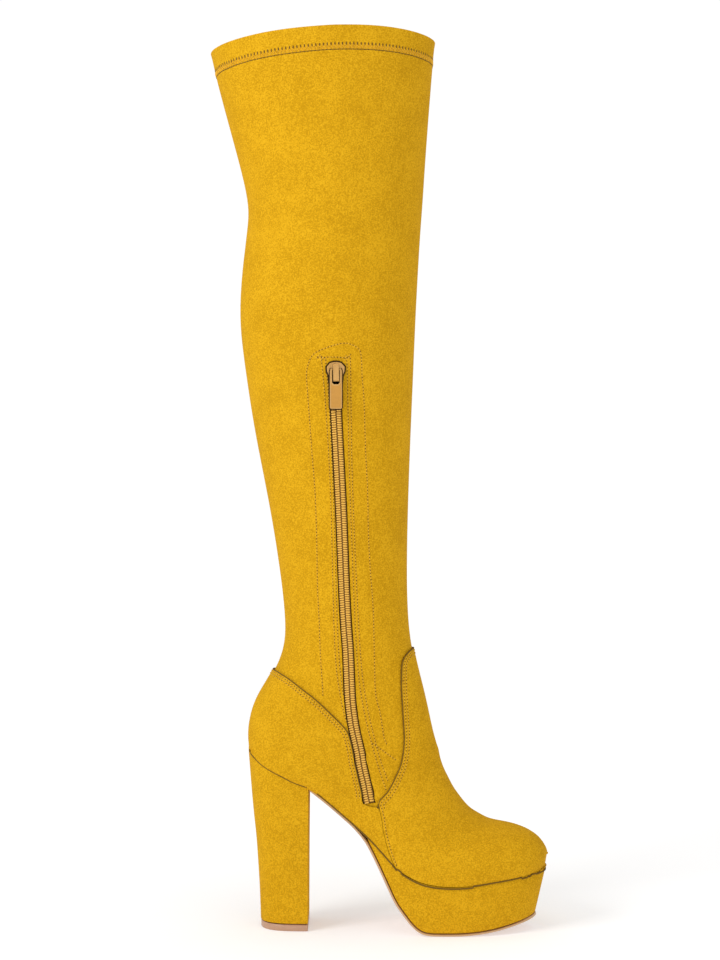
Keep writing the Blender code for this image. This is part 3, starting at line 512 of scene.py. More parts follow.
# Soft folds of the empty boot. Each runs over the side from back to front. x, z in
# millimetres; width and depth in millimetres, depth above zero for a trough. A fold reaches
# CREASE_REACH of its widths.
CREASES = (
    # places, width, depth
    (((0, 214), (22, 206), (48, 203), (70, 207)), 7.0, 0.7),
    (((4, 232), (30, 226), (60, 230)), 8.0, -0.4),
    (((60, 190), (74, 183), (86, 181)), 6.0, 0.5),
    (((8, 262), (30, 254), (52, 256)), 9.0, 0.4),
    (((-30, 498), (0, 492), (30, 496)), 11.0, 0.6),
    (((66, 140), (76, 133), (86, 131)), 6.0, 0.4),
    (((96, 88), (104, 100), (106, 118)), 7.0, 0.5),
)
CREASE_REACH = 3


def press_creases(made):
    """Presses the soft folds into both sides of the leg."""
    runs = []
    for places, width, depth in CREASES:
        points = smooth_run([Vector((x, z)) / 1000 for x, z in places], CREASE_STEPS)
        runs.append((points, width / 1000, depth / 1000))
    normals = [corner.normal.copy() for corner in made.data.vertices]
    for corner, normal in zip(made.data.vertices, normals):
        seen = Vector((corner.co.x, corner.co.z))
        push = 0.0
        for points, width, depth in runs:
            gaps = [(seen - point).length for point in points]
            near = min(range(len(gaps)), key=gaps.__getitem__)
            if gaps[near] > CREASE_REACH * width:
                continue
            end = math.sin(math.pi * (near + 0.5) / len(gaps))
            push += depth * end * math.exp(-(gaps[near] / width) ** 2)
        corner.co -= normal * push
    made.data.update()


def smooth_run(places, steps):
    """A smooth curve through places, with an even number of steps between each two."""
    if len(places) == 2:
        return [places[0].lerp(places[1], k / steps) for k in range(steps + 1)]
    ends = [2 * places[0] - places[1]] + list(places) + [2 * places[-1] - places[-2]]
    made = []
    for before, start, end, after in zip(ends, ends[1:], ends[2:], ends[3:]):
        for k in range(steps):
            t = k / steps
            made.append(0.5 * (2 * start + (end - before) * t
                               + (2 * before - 5 * start + 4 * end - after) * t ** 2
                               + (3 * start - before - 3 * end + after) * t ** 3))
    return made + [places[-1]]


def even_run(places, step):
    """Places one step apart along a run of points."""
    made = []
    left = 0.0
    for start, end in zip(places, places[1:]):
        length = (end - start).length
        while left < length:
            made.append(start.lerp(end, left / length))
            left += step
        left -= length
    return made


def edge_line(table):
    """An overlay's edge, as its x for each height."""
    places = [(x / 1000, z / 1000) for x, z in table]

    def x_at(height):
        above = [k for k in range(1, len(places) - 1) if places[k][1] > height]
        k = above[-1] if above else 0
        (x, z), (next_x, next_z) = places[k], places[k + 1]
        return x + (next_x - x) * (height - z) / (next_z - z)

    return x_at


def vamp_side(place):
    """Above zero on the vamp's side of its edge."""
    return place.x - edge_line(VAMP_EDGE)(place.z)


def counter_side(place):
    """Above zero on the counter's side of its edge."""
    seam = tuple((x - SEAM_GAP, z) for x, z in VAMP_EDGE[SEAM_START:])
    return edge_line(COUNTER_EDGE + seam)(place.z) - place.x


SLOPE_STEP = 0.0002
SNAP_SHARE = 0.34


def way_to_line(place, side):
    """The way from a place to the line where side is zero, as seen from the boot's side."""
    here = side(place)
    slope = Vector((side(place + Vector((SLOPE_STEP, 0, 0))) - here, 0.0,
                    side(place + Vector((0, 0, SLOPE_STEP))) - here)) / SLOPE_STEP
    return -slope * (here / max(slope.length_squared, 1e-6))


def snapped(corner, side, tree):
    """Moves a corner that lies near the line onto it, and tells whether it lies there now."""
    reach = SNAP_SHARE * min(edge.calc_length() for edge in corner.link_edges)
    place = corner.co.copy()
    for _ in range(3):
        place = tree.find_nearest(place + way_to_line(place, side))[0]
        if (place - corner.co).length > reach:
            return False
    corner.co = place
    return True


def cut_along(made, side):
    """Cuts a shell where side changes sign, and keeps what lies above zero."""
    tree = tree_of(made)
    shape = bmesh.new()
    shape.from_mesh(made.data)
    line = [corner for corner in shape.verts if snapped(corner, side, tree)]
    worth = {corner: side(corner.co) for corner in shape.verts}
    worth.update({corner: 0.0 for corner in line})
    for edge in list(shape.edges):
        start, end = edge.verts
        if worth[start] * worth[end] < 0:
            share = worth[start] / (worth[start] - worth[end])
            _, corner = bmesh.utils.edge_split(edge, start, share)
            worth[corner] = 0.0
            line.append(corner)
    bmesh.ops.connect_verts(shape, verts=line)
    gone = [face for face in shape.faces if sum(worth[corner] for corner in face.verts) < 0]
    bmesh.ops.delete(shape, geom=gone, context="FACES")
    shape.to_mesh(made.data)
    shape.free()


def give_materials(made, materials):
    for material in materials:
        made.data.materials.append(material)


def finish_piece(made, materials, nodes=(), body=BOOT):
    """Gives a piece its materials and body, and hides the CAD nodes that it stands for."""
    give_materials(made, materials)
    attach(made, body)
    if nodes:
        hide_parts(*nodes)


# The share of the suede's colours in the painted shade along an overlay's edge and in the dark
# cords of painted shade.
PAINTED_EDGE_SHADE = 0.27
OVERLAY_GAP = 0.0001


def make_overlay(name, side, materials, sizes):
    """An overlay cut from the leg's form, its rim darkened as painted shade along its cut edge.
    """
    made = leg_form(name, sizes)
    give_materials(made, materials)
    cut_along(made, side)
    normals = [corner.normal.copy() for corner in made.data.vertices]
    for corner, normal in zip(made.data.vertices, normals):
        corner.co += normal * (sizes.overlay_wall + OVERLAY_GAP)
    made.data.update()
    # The rim takes the second material, the darkened suede that paints the shade at the
    # overlay's step.
    apply_modifier(made, "SOLIDIFY", {"thickness": sizes.overlay_wall, "offset": -1.0,
                                      "material_offset_rim": 1})
    shade(made, WALL_ANGLE)
    return made


def settings(context):
    return context.scene.boot_colours, context.scene.boot_sizes


class BOOT_OT_upper(bpy.types.Operator):
    """Makes the stretch upper: one hollow wall, open at the collar, the zip and underneath"""

    bl_idname = "boot.upper"
    bl_label = "Upper"

    def execute(self, context):
        colours, sizes = settings(context)
        made = leg_form("suede_upper", sizes)
        give_materials(made, [suede_finish("upper_suede", colours),
                              cloth_finish("upper_lining", colours.lining, 0.0008)])
        apply_modifier(made, "SOLIDIFY", {"thickness": sizes.upper_wall, "offset": -1.0,
                                          "material_offset": 1})
        shade(made, WALL_ANGLE)
        finish_piece(made, (), ["upper"])
        return {"FINISHED"}


class BOOT_OT_overlays(bpy.types.Operator):
    """Makes the vamp and the heel counter, which lie on the upper"""

    bl_idname = "boot.overlays"
    bl_label = "Vamp and counter"

    def execute(self, context):
        colours, sizes = settings(context)
        # Painted shade: darkened suede for the rims, where the step casts a thin shadow and the
        # raw cut edge shows.
        edge = suede_finish("edge_painted_shade", colours, PAINTED_EDGE_SHADE)
        for node, side in (("vamp", vamp_side), ("counter", counter_side)):
            made = make_overlay("suede_" + node, side,
                                [suede_finish(node + "_suede", colours), edge], sizes)
            finish_piece(made, (), [node])
        return {"FINISHED"}


def rounded_copy(node, name, weight, shade_degrees):
    """A smooth copy of a CAD node with softened edges."""
    made = merged_copy(node, name)
    crease_edges(made, CREASE_ANGLE, weight)
    smooth_through(made, 2, 0)
    shade(made, shade_degrees)
    return made


# The outsole's underside is where its faces' normals lie below the one and between the others.
UNDER_SLOPE = -0.25
UNDER_SIDE = 0.5


class BOOT_OT_sole(bpy.types.Operator):
    """Makes the covered platform, the thin outsole and the insole"""

    bl_idname = "boot.sole"
    bl_label = "Sole"

    def execute(self, context):
        colours, _ = settings(context)
        platform = rounded_copy("platform", "suede_platform", 0.55, ROLL_ANGLE)
        finish_piece(platform, [suede_finish("platform_suede", colours)], ["platform"])
        outsole = rounded_copy("outsole", "thin_outsole", 0.9, WALL_ANGLE)
        for face in outsole.data.polygons:
            under = face.normal.z < UNDER_SLOPE and abs(face.normal.y) < UNDER_SIDE
            face.material_index = 1 if under else 0
        finish_piece(outsole, [plain_finish("outsole_tan", colours.sole, 0.55, 0.006,
                                            {"Coat Weight": 0.08}),
                               plain_finish("outsole_face", colours.underside, 0.6, 0.010)],
                     ["outsole"])
        insole = rounded_copy("insole", "lined_insole", 0.8, WALL_ANGLE)
        finish_piece(insole, [cloth_finish("insole_cloth", colours.lining, 0.0009)],
                     ["insole"])
        return {"FINISHED"}


class BOOT_OT_heel(bpy.types.Operator):
    """Makes the covered block heel and its tip"""

    bl_idname = "boot.heel"
    bl_label = "Heel"

    def execute(self, context):
        colours, _ = settings(context)
        heel = rounded_copy("heel", "suede_heel", 0.6, ROLL_ANGLE)
        finish_piece(heel, [suede_finish("heel_suede", colours)], ["heel"])
        tip = rounded_copy("heel_tip", "moulded_heel_tip", 0.85, WALL_ANGLE)
        finish_piece(tip, [plain_finish("tip_rubber", colours.tip, 0.5, 0.004,
                                        {"Coat Weight": 0.1})], ["heel_tip"])
        return {"FINISHED"}


def tree_of(made):
    """The faces of an object that sits at the origin, for rays and nearest points."""
    mesh = made.data
    return BVHTree.FromPolygons([corner.co for corner in mesh.vertices],
                                [tuple(face.vertices) for face in mesh.polygons])


def photo_ray(across, down):
    """The direction from the camera through a pixel of the photograph."""
    place = Vector((CAMERA_PLACE.x + (across - PHOTO_MIDDLE[0]) * PIXEL, 0.0,
                    CAMERA_PLACE.z + (PHOTO_MIDDLE[1] - down) * PIXEL))
    return (place - CAMERA_PLACE).normalized()


def photo_run(pixels, tree, step):
    """Places and normals one step apart where a line of pixels meets a surface."""
    run = smooth_run([Vector(pixel) for pixel in pixels], PIXEL_STEPS)
    hits = [tree.ray_cast(CAMERA_PLACE, photo_ray(*pixel)) for pixel in run]
    places = even_run([hit[0] for hit in hits if hit[0]], step)
    return on_surface(places, tree)


def on_surface(places, tree):
    """Each place moved to the nearest point of a surface, with the normal there."""
    found = []
    for place in places:
        point, normal, _, _ = tree.find_nearest(place)
        found.append((point, normal))
    return found


def round_turns(count):
    """Cosine and sine of even turns round a circle."""
    turns = [2 * math.pi * k / count for k in range(count)]
    return [(math.cos(turn), math.sin(turn)) for turn in turns]


def tube_faces(rings, sides, first=0):
    """Faces of a closed tube whose rings of corners follow one another."""
    last = first + (rings - 1) * sides
    faces = [tuple(reversed(range(first, first + sides)))]
    for start in range(first, last, sides):
        for k in range(sides):
            a, b = start + k, start + (k + 1) % sides
            faces.append((a, b, b + sides, a + sides))
    return faces + [tuple(range(last, last + sides))]


# One stitch: a thread that dips at both ends. along, half width, rise; shares of half the
# length and of the thread's half thickness.
STITCH_RINGS = (
    (-1.00, 0.20, -0.90),
    (-0.80, 0.80, -0.10),
    (-0.30, 1.00, 0.35),
    (0.30, 1.00, 0.35),
    (0.80, 0.80, -0.10),
    (1.00, 0.20, -0.90),
)
STITCH_SIDES = 5


def stitch_shape(length, width):
    """Corners and faces of one stitch that runs along X and rises along Z."""
    points = [Vector((along * length / 2, half * width / 2 * cosine,
                      (rise + half * sine) * width / 2))
              for along, half, rise in STITCH_RINGS
              for cosine, sine in round_turns(STITCH_SIDES)]
    return points, tube_faces(len(STITCH_RINGS), STITCH_SIDES)


# One pinhole: a flat dark cone of painted shade, for the shade in the needle hole. Its half size
# is in thread widths, along and across. Its rings have a share of that size and a rise in
# HOLE_RISE, and its peak lies above them.
HOLE_SIDES = 6
HOLE_RISE = 0.00010
HOLE_SIZE = (0.75, 0.55)
HOLE_RINGS = ((1.0, 1.0), (1.15, -4.0))
HOLE_PEAK = 1.6


def hole_shape(pitch, width):
    """Corners and faces of the dark pinhole, painted shade halfway to the next stitch."""
    points = [Vector((pitch / 2, 0.0, HOLE_PEAK * HOLE_RISE))]
    points += [Vector((pitch / 2 + HOLE_SIZE[0] * size * width * cosine,
                       HOLE_SIZE[1] * size * width * sine, rise * HOLE_RISE))
               for size, rise in HOLE_RINGS for cosine, sine in round_turns(HOLE_SIDES)]
    faces = [tuple(reversed(range(HOLE_SIDES + 1, 2 * HOLE_SIDES + 1)))]
    for k in range(HOLE_SIDES):
        a, b = 1 + k, 1 + (k + 1) % HOLE_SIDES
        faces += [(0, a, b), (a, a + HOLE_SIDES, b + HOLE_SIDES, b)]
    return points, faces


def sew(name, threads, holes, thread, dark, sizes):
    """Threads and the pinholes of painted shade between them, as two pieces."""
    shapes = (("_stitches", stitch_shape(sizes.stitch_length, sizes.thread_width), threads,
               thread),
              ("_pinholes", hole_shape(sizes.stitch_pitch, sizes.thread_width), holes, dark))
    for kind, shape, places, material in shapes:
        made = new_object(name + kind, *copies(shape, places))
        finish_piece(made, [material])


def copies(shape, places, first=0):
    """Corners and faces of a copy of a shape at each place. A place is a 4 by 4 matrix."""
    corners, faces = shape
    points = []
    loops = []
    for place in places:
        loops += [tuple(first + len(points) + k for k in face) for face in faces]
        points += [place @ corner for corner in corners]
    return points, loops


def seat(point, along, normal):
    """A place with X along a run and Z out of the surface."""
    along = (along - normal * along.dot(normal)).normalized()
    across = normal.cross(along)
    return Matrix.Translation(point) @ Matrix((along, across, normal)).transposed().to_4x4()


def run_places(run):
    """A place at each point of a run of points and normals."""
    made = []
    for k, (point, normal) in enumerate(run):
        before, after = run[max(k - 1, 0)][0], run[min(k + 1, len(run) - 1)][0]
        if (after - before).length > 1e-6:
            made.append(seat(point, after - before, normal))
    return made


# Runs along edges: how near a cut line they lie, their step, how many neighbours on each side
# even a place out, and how many places a run needs.
CUT_REACH = 0.0007
RUN_STEP = 0.0008
RUN_WINDOW = 4
SHORT_RUN = 8

# The heel's top edges: their least turn, the least slope of the face above, the heel's middle,
# and how far round to the back and the front they reach.
RIM_TURN = math.radians(40)
RIM_SLOPE = 0.3
HEEL_MIDDLE = -0.010
HEEL_BACK = -0.93
HEEL_FRONT = 0.72

# The foot's lower rim: the slanting line that it lies under, the ends of the foot's middle
# line, the x that it starts at, and how far below it the joint is looked for.
FOOT_LOW = 0.075
FOOT_HIGH = 0.137
FOOT_FALL = 0.95
FOOT_MIDDLE = (0.020, 0.145)
FOOT_BACK = 0.024
FOOT_DROPS = (0.0004, 0.0010, 0.0016)

# Lines laid on a face: how far off their rays start, the jump that parts them, and the step
# that tells an edge's two sides apart.
LAY_REACH = 0.006
LINE_BREAK = 0.0035
SIDE_STEP = 0.001

# Dark cords of painted shade: their sides, half widths and how deep they are sunk.
CORD_SIDES = 6
EDGE_CORD = 0.00048
EDGE_SINK = 0.00030
FOOT_CORD = 0.00055
FOOT_SINK = -0.00020
HEEL_CORD = 0.00045
HEM_CORD = 0.00028


def chains(edges):
    """The chains that a set of edges makes, as lists of places."""
    left = dict.fromkeys(edges)
    runs = []
    while left:
        edge = next(iter(left))
        del left[edge]
        chain = list(edge.verts)
        for _ in range(2):
            step = edge
            while step:
                step = next((more for more in chain[-1].link_edges if more in left), None)
                if step:
                    del left[step]
                    chain.append(step.other_vert(chain[-1]))
            chain.reverse()
        runs.append([corner.co.copy() for corner in chain])
    return runs


def edge_runs(mesh, wanted):
    """The chains of a mesh's wanted edges, as lists of places."""
    shape = bmesh.new()
    shape.from_mesh(mesh)
    runs = chains(edge for edge in shape.edges if wanted(edge))
    shape.free()
    return runs


def evened_runs(mesh, wanted):
    """The longer chains of a mesh's wanted edges, evened out."""
    return [evened(run, RUN_STEP, RUN_WINDOW) for run in edge_runs(mesh, wanted)
            if len(run) > SHORT_RUN]


def cut_runs(side, sizes):
    """The chains of corners where the leg's form is cut, evened out."""
    shell = leg_form("cut_shell", sizes)
    cut_along(shell, side)
    runs = evened_runs(shell.data, lambda edge: edge.is_boundary
                       and all(way_to_line(corner.co, side).length < CUT_REACH
                               for corner in edge.verts))
    bpy.data.objects.remove(shell)
    return runs


def evened(run, step, window):
    """A run of places one step apart, each the middle of its neighbours."""
    even = even_run(run, step)
    made = []
    for k in range(len(even)):
        reach = min(window, k, len(even) - 1 - k)
        near = even[k - reach:k + reach + 1]
        made.append(sum(near, Vector()) / len(near))
    return made


def foot_runs(mesh):
    """The lower rim of the leg's form, evened out."""
    return evened_runs(mesh, lambda edge: edge.is_boundary
                       and all(corner.co.z < foot_top(corner.co.x) for corner in edge.verts))


def foot_top(x):
    """A height above the leg form's lower rim and under the foot of the zip."""
    return max(FOOT_LOW, FOOT_HIGH - FOOT_FALL * x)


def joint_lines(run, drops, out_at, trees):
    """Lines of a run's places, laid on whichever surface stands furthest out beside them."""
    lines = [[]]
    for place in run:
        out = out_at(place)
        start = place + out * LAY_REACH
        rays = [tree.ray_cast(start - Vector((0.0, 0.0, drop)), -out, 2 * LAY_REACH)
                for drop in drops for tree in trees]
        hits = [hit for hit in rays if hit[0]]
        if hits:
            found = min(hits, key=lambda hit: hit[3])[0]
            if lines[-1] and (found - lines[-1][-1][0]).length > LINE_BREAK:
                lines.append([])
            lines[-1].append((found, out))
    return [line for line in lines if len(line) > SHORT_RUN]


def heel_runs(mesh):
    """The sharp edges round the heel's top, its front left out, evened out."""
    return evened_runs(mesh, lambda edge: len(edge.link_faces) == 2
                       and edge.calc_face_angle() > RIM_TURN
                       and max(face.normal.z for face in edge.link_faces) > RIM_SLOPE
                       and all(HEEL_BACK < heel_out(corner.co).x < HEEL_FRONT
                               for corner in edge.verts))


def foot_out(place):
    """The level way out of the foot at a place, from a line along its middle."""
    middle = min(max(place.x, FOOT_MIDDLE[0]), FOOT_MIDDLE[1])
    return Vector((place.x - middle, place.y, 0.0)).normalized()


def heel_out(place):
    """The level way out of the heel at a place."""
    return Vector((place.x - HEEL_MIDDLE, place.y, 0.0)).normalized()


def base_ring(mesh):
    """The corners round the back of a flat metal piece, in order."""

    def wanted(edge):
        out = [face.normal.dot(ZIP_OUT) for face in edge.link_faces]
        return len(out) == 2 and min(out) < BACK_FACE and max(out) > BACK_SIDE

    longest = max(edge_runs(mesh, wanted),
                  key=lambda run: sum((b - a).length for a, b in zip(run, run[1:])))
    return [(place, ZIP_OUT) for place in longest]


def inset_run(run, inset, side, form):
    """A run of places beside a cut edge, on the side that is kept."""
    moved = []
    for k, place in enumerate(run):
        along = (run[min(k + 1, len(run) - 1)] - run[max(k - 1, 0)]).normalized()
        normal = form.find_nearest(place)[1]
        inwards = normal.cross(along).normalized()
        if side(place + inwards * SIDE_STEP) < side(place - inwards * SIDE_STEP):
            inwards = -inwards
        moved.append(place + inwards * inset)
    return moved


def laid_on(places, form, tree):
    """Each place moved onto the outermost face over the leg's form, with the normal there."""
    found = []
    for place in places:
        out = form.find_nearest(place)[1]
        point, normal, _, _ = tree.ray_cast(place + out * LAY_REACH, -out)
        if point:
            found.append((point, normal))
    return found


def cord(name, runs, radius, sink, material, body=BOOT):
    """A thin dark cord of painted shade along runs of points and normals."""
    points = []
    faces = []
    for run in runs:
        places = run_places(run)
        faces += tube_faces(len(places), CORD_SIDES, len(points))
        points += [place @ Vector((0.0, radius * cosine, radius * sine - sink))
                   for place in places for cosine, sine in round_turns(CORD_SIDES)]
    made = new_object(name, points, faces)
    shade(made, ROLL_ANGLE)
    finish_piece(made, [material], body=body)


# Rows of stitches on the overlays, as their distances from the edge, and the height under
# which only the seam between vamp and counter is sewn.
SEAM_TOP = 0.0897
VAMP_ROWS = (0.0018, 0.0040)
COUNTER_ROWS = (0.0016, 0.0036)

# The hem: its stitches, their thread, and the size of the pinholes in its two rows, in those
# of a plain row.
HEM_PITCH = 0.0027
HEM_THREAD = 0.50
HEM_HOLE = (1.0, 3.2)
HEM_TURN = (1.1, 1.3)
HEM_RAYS = 240

RAY_START = 0.2


class BOOT_OT_stitching(bpy.types.Operator):
    """Sews the rows of stitches on the overlays, beside the zip and round the hem, and lays dark
    cords of painted shade along the overlays' edges, the foot, the heel and the hem
    """

    bl_idname = "boot.stitching"
    bl_label = "Stitching"

    def execute(self, context):
        colours, sizes = settings(context)
        thread = plain_finish("thread", colours.thread, 0.8, 0.0012)
        # Painted shade in the needle holes.
        dark = plain_finish("needle_hole_shade", colours.hole, 0.95, 0.0012)
        # The dark line material paints shade on the cords along the edges, the joints and the
        # hem.
        edge = plain_finish("painted_shade_line", [PAINTED_EDGE_SHADE * part for part in colours.suede], 0.95,
                            0.0012)
        shell = leg_form("form_shell", sizes)
        form = tree_of(shell)
        bpy.data.objects.remove(shell)
        for piece, side, rows in (("vamp", vamp_side, VAMP_ROWS),
                                  ("counter", counter_side, COUNTER_ROWS)):
            tree = tree_of(bpy.data.objects["suede_" + piece])
            places = []
            lines = []
            for run in cut_runs(side, sizes):
                rim = [place for place in run if place.z > SEAM_TOP]
                lines.append(laid_on(inset_run(rim, OVERLAY_GAP, side, form), form, tree))
                for row, inset in enumerate(rows):
                    part = run if row == 0 and piece == "vamp" else rim
                    moved = even_run(inset_run(part, inset, side, form), sizes.stitch_pitch)
                    places += run_places(laid_on(moved, form, tree))
            # A cord of painted shade along each overlay's edge, where its step casts a thin
            # shadow and its raw cut edge shows.
            cord(piece + "_painted_edge_shadow", lines, EDGE_CORD, EDGE_SINK, edge)
            sew(piece, places, places, thread, dark, sizes)
        trees = {name: tree_of(bpy.data.objects["suede_" + name])
                 for name in ("vamp", "counter", "platform", "heel")}
        # A cord of painted shade where the upper meets the platform: the joint's shadow, with
        # its dark glue.
        foot = []
        for run in foot_runs(bpy.data.meshes["leg_form"]):
            ahead = [place for place in run if place.x > FOOT_BACK]
            foot.extend(joint_lines(ahead, FOOT_DROPS, foot_out, trees.values()))
        cord("foot_joint_shade", foot, FOOT_CORD, FOOT_SINK, edge)
        # A cord of painted shade round the heel's top, where it meets the counter: the joint's
        # shadow, with its dark glue.
        heel = []
        for run in heel_runs(bpy.data.objects["suede_heel"].data):
            heel.extend(joint_lines(run, (0.0,), heel_out,
                                    (trees["heel"], trees["counter"])))
        cord("heel_joint_shade", heel, HEEL_CORD, 0.0, edge)
        tree = tree_of(bpy.data.objects["suede_upper"])
        places = []
        for pixels in ZIP_STITCHES.values():
            places += run_places(photo_run(pixels, tree, sizes.stitch_pitch))
        sew("zip", places, places, thread, dark, sizes)
        threads, holes, low = self.hem(tree, sizes)
        # A cord of painted shadow under the hem's band.
        cord("hem_painted_shadow", [low], HEM_CORD, 0.0, edge)
        sew("hem", threads, holes, thread, dark, sizes)
        return {"FINISHED"}

    def hem(self, tree, sizes):
        """A zigzag round the collar, with needle holes of painted shade at its upper turns."""
        middle = HOLLOW_LINE[0]
        rim = collar_rim(bpy.data.meshes["leg_form"])
        rows = []
        for drop in (sizes.hem_height, sizes.hem_height - sizes.hem_band):
            points = []
            for k in range(HEM_RAYS):
                turn = 2 * math.pi * k / HEM_RAYS
                way = Vector((math.cos(turn), math.sin(turn), 0.0))
                start = Vector((middle.x, 0.0, rim(turn) - drop))
                points.append(tree.ray_cast(start + way * RAY_START, -way)[0])
            points = evened(points + points[:1], HEM_PITCH / 3, RUN_WINDOW)
            rows.append(on_surface(even_run(points, HEM_PITCH), tree))
        threads = []
        for k in range(min(len(rows[0]), len(rows[1])) - 1):
            turns = rows[1][k][0], (rows[0][k][0] + rows[0][k + 1][0]) / 2, rows[1][k + 1][0]
            for start, end in zip(turns, turns[1:]):
                centre, out, _, _ = tree.find_nearest((start + end) / 2)
                reach = (end - start).length / sizes.stitch_length
                threads.append(seat(centre, end - start, out)
                               @ Matrix.Diagonal((reach, HEM_THREAD, 1.0, 1.0)))
        holes = [place @ Matrix.Diagonal((*size, 1.0, 1.0))
                 for row, size in ((rows[1], HEM_HOLE), (rows[0], HEM_TURN))
                 for place in run_places(row)]
        return threads, holes, rows[0]


def collar_rim(mesh):
    """The collar's height for each turn round the leg."""
    used = {}
    for face in mesh.polygons:
        for edge in face.edge_keys:
            used[edge] = used.get(edge, 0) + 1
    ends = {k for edge, count in used.items() if count == 1 for k in edge}
    middle = HOLLOW_LINE[0]
    corners = [mesh.vertices[k].co for k in ends if mesh.vertices[k].co.z > HEM_FOOT]
    rim = sorted((math.atan2(place.y, place.x - middle.x), place.z) for place in corners)

    def height(turn):
        turn = (turn + math.pi) % (2 * math.pi) - math.pi
        return min(rim, key=lambda entry: abs(entry[0] - turn))[1]

    return height


# One tooth's cross section, over the chain. along, rise; shares of half the tooth and of
# TOOTH_RISE.
TOOTH_SECTION = ((-1.0, -0.6), (-1.0, 0.25), (-0.6, 0.8), (0.0, 1.0), (0.6, 0.8), (1.0, 0.25),
                 (1.0, -0.6))
TOOTH_SHARE = 0.80
TOOTH_RISE = 0.00055
CHAIN_PARTING = 0.00048
TOOTH_SLANT = 0.00025
TOOTH_NOSE = 0.0005
TOOTH_HEEL = 0.0007


def tooth_shape(side, half_chain, pitch):
    """Corners and faces of one tooth on one side of the chain's middle."""
    ends = ((CHAIN_PARTING, 0.8), (CHAIN_PARTING + TOOTH_NOSE, 1.0),
            (half_chain - TOOTH_HEEL, 0.9), (half_chain, 0.35))
    points = []
    for across, size in ends:
        for along, rise in TOOTH_SECTION:
            slant = TOOTH_SLANT * across / half_chain
            points.append(Vector((along * pitch / 2 * TOOTH_SHARE * size + slant, side * across,
                                  rise * TOOTH_RISE * size)))
    count = len(TOOTH_SECTION)
    faces = [tuple(range(count)), tuple(reversed(range(3 * count, 4 * count)))]
    for ring in range(3):
        for k in range(count):
            a, b = ring * count + k, ring * count + (k + 1) % count
            faces.append((a, a + count, b + count, b))
    if side < 0:
        faces = [tuple(reversed(face)) for face in faces]
    return points, faces


# The slider and its tab: the way out of the zip, the shares of it that mark a front face, a
# back face and the sides beside that, the turn that still counts as flat, their bevel, the
# shade of the painted shadow on their sides and the share that marks those, their outlines of
# painted shadow, and the tab's rim and sunk middle.
ZIP_OUT = Vector((0.0626, -0.998, 0.0))
FRONT_FACE = 0.99
BACK_FACE = -0.9
BACK_SIDE = -0.5
FLAT_TURN = math.radians(2)
METAL_BEVEL = 0.00028
METAL_SHADOW = 0.06
SIDE_SHARE = 0.30
SLIDER_CORD = 0.00110
TAB_CORD = 0.00075
TAB_RIM = 0.00085
TAB_SINK = 0.00025


class BOOT_OT_zip(bpy.types.Operator):
    """Makes the zip's teeth, the slider and its pull tab, and colours the chain and the tape"""

    bl_idname = "boot.zip"
    bl_label = "Zip"

    def execute(self, context):
        colours, sizes = settings(context)
        for node in ("zip_chain", "zip_tape"):
            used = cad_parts[node].data.materials
            used.clear()
            used.append(cloth_finish(node + "_cloth", colours.tape, 0.0006))
        tree = tree_of(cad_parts["zip_chain"])
        hits = []
        for place in smooth_run([Vector((x, 0.0, z)) / 1000 for x, z in ZIP_LINE], ZIP_STEPS):
            start = Vector((place.x, -RAY_START, place.z))
            point = tree.ray_cast(start, Vector((0.0, 1.0, 0.0)))[0]
            if point:
                hits.append(point)
        half_steps = even_run(hits, sizes.tooth_pitch / 2)
        points = []
        loops = []
        for side, first in ((-1, 0), (1, 1)):
            places = run_places(on_surface(half_steps[first::2], tree))
            shape = tooth_shape(side, sizes.chain_width / 2, sizes.tooth_pitch)
            corners, faces = copies(shape, places, len(points))
            points += corners
            loops += faces
        finish_piece(new_object("zip_teeth", points, loops),
                     [plain_finish("teeth_gold", colours.teeth, 0.38, 0.002,
                                   {"Metallic": 0.35})])
        self.metalwork(colours)
        return {"FINISHED"}

    def metalwork(self, colours):
        """Softens the edges of the slider and the pull tab, sinks the tab's middle, paints
        shadow on their sides and lays a cord of painted shadow round each one's back.
        """
        shadow = plain_finish("metal_shadow", [METAL_SHADOW * part for part in colours.slider],
                              0.9, 0.003, {"Specular IOR Level": 0.1})
        for node, name, body in (("zip_slider", "cast_slider", BOOT),
                                 ("zip_pull", "pull_tab", PULL)):
            made = merged_copy(node, name)
            edit_all(made)
            bpy.ops.mesh.dissolve_limited(angle_limit=FLAT_TURN)
            bpy.ops.object.mode_set(mode="OBJECT")
            ring = base_ring(made.data)
            if node == "zip_pull":
                self.sink_middle(made)
            apply_modifier(made, "BEVEL", {"width": METAL_BEVEL, "segments": 3,
                                           "limit_method": "ANGLE",
                                           "angle_limit": math.radians(30)})
            shade(made, METAL_ANGLE)
            # Faces turned aside from the zip take the painted shadow.
            for face in made.data.polygons:
                if abs(face.normal.dot(ZIP_OUT)) < SIDE_SHARE:
                    face.material_index = 1
            metals = [plain_finish(name + "_metal", colours.slider, 0.36, 0.003,
                                   {"Metallic": 0.45, "Coat Weight": 0.2}), shadow,
                      plain_finish(name + "_face", colours.tab, 0.45, 0.003,
                                   {"Metallic": 0.35})]
            finish_piece(made, metals, [node], body)
            # A cord of painted shadow round the back of each piece.
            cord(name + "_shadow", [ring],
                 TAB_CORD if node == "zip_pull" else SLIDER_CORD, 0.0, shadow, body)

    def sink_middle(self, made):
        """Sinks the middle of the pull tab's front face."""
        shape = bmesh.new()
        shape.from_mesh(made.data)
        front = [face for face in shape.faces if face.normal.dot(ZIP_OUT) > FRONT_FACE]
        bmesh.ops.inset_region(shape, faces=front, thickness=TAB_RIM, depth=-TAB_SINK,
                               use_boundary=True, use_even_offset=True)
        for face in front:
            face.material_index = 2
        shape.to_mesh(made.data)
        shape.free()


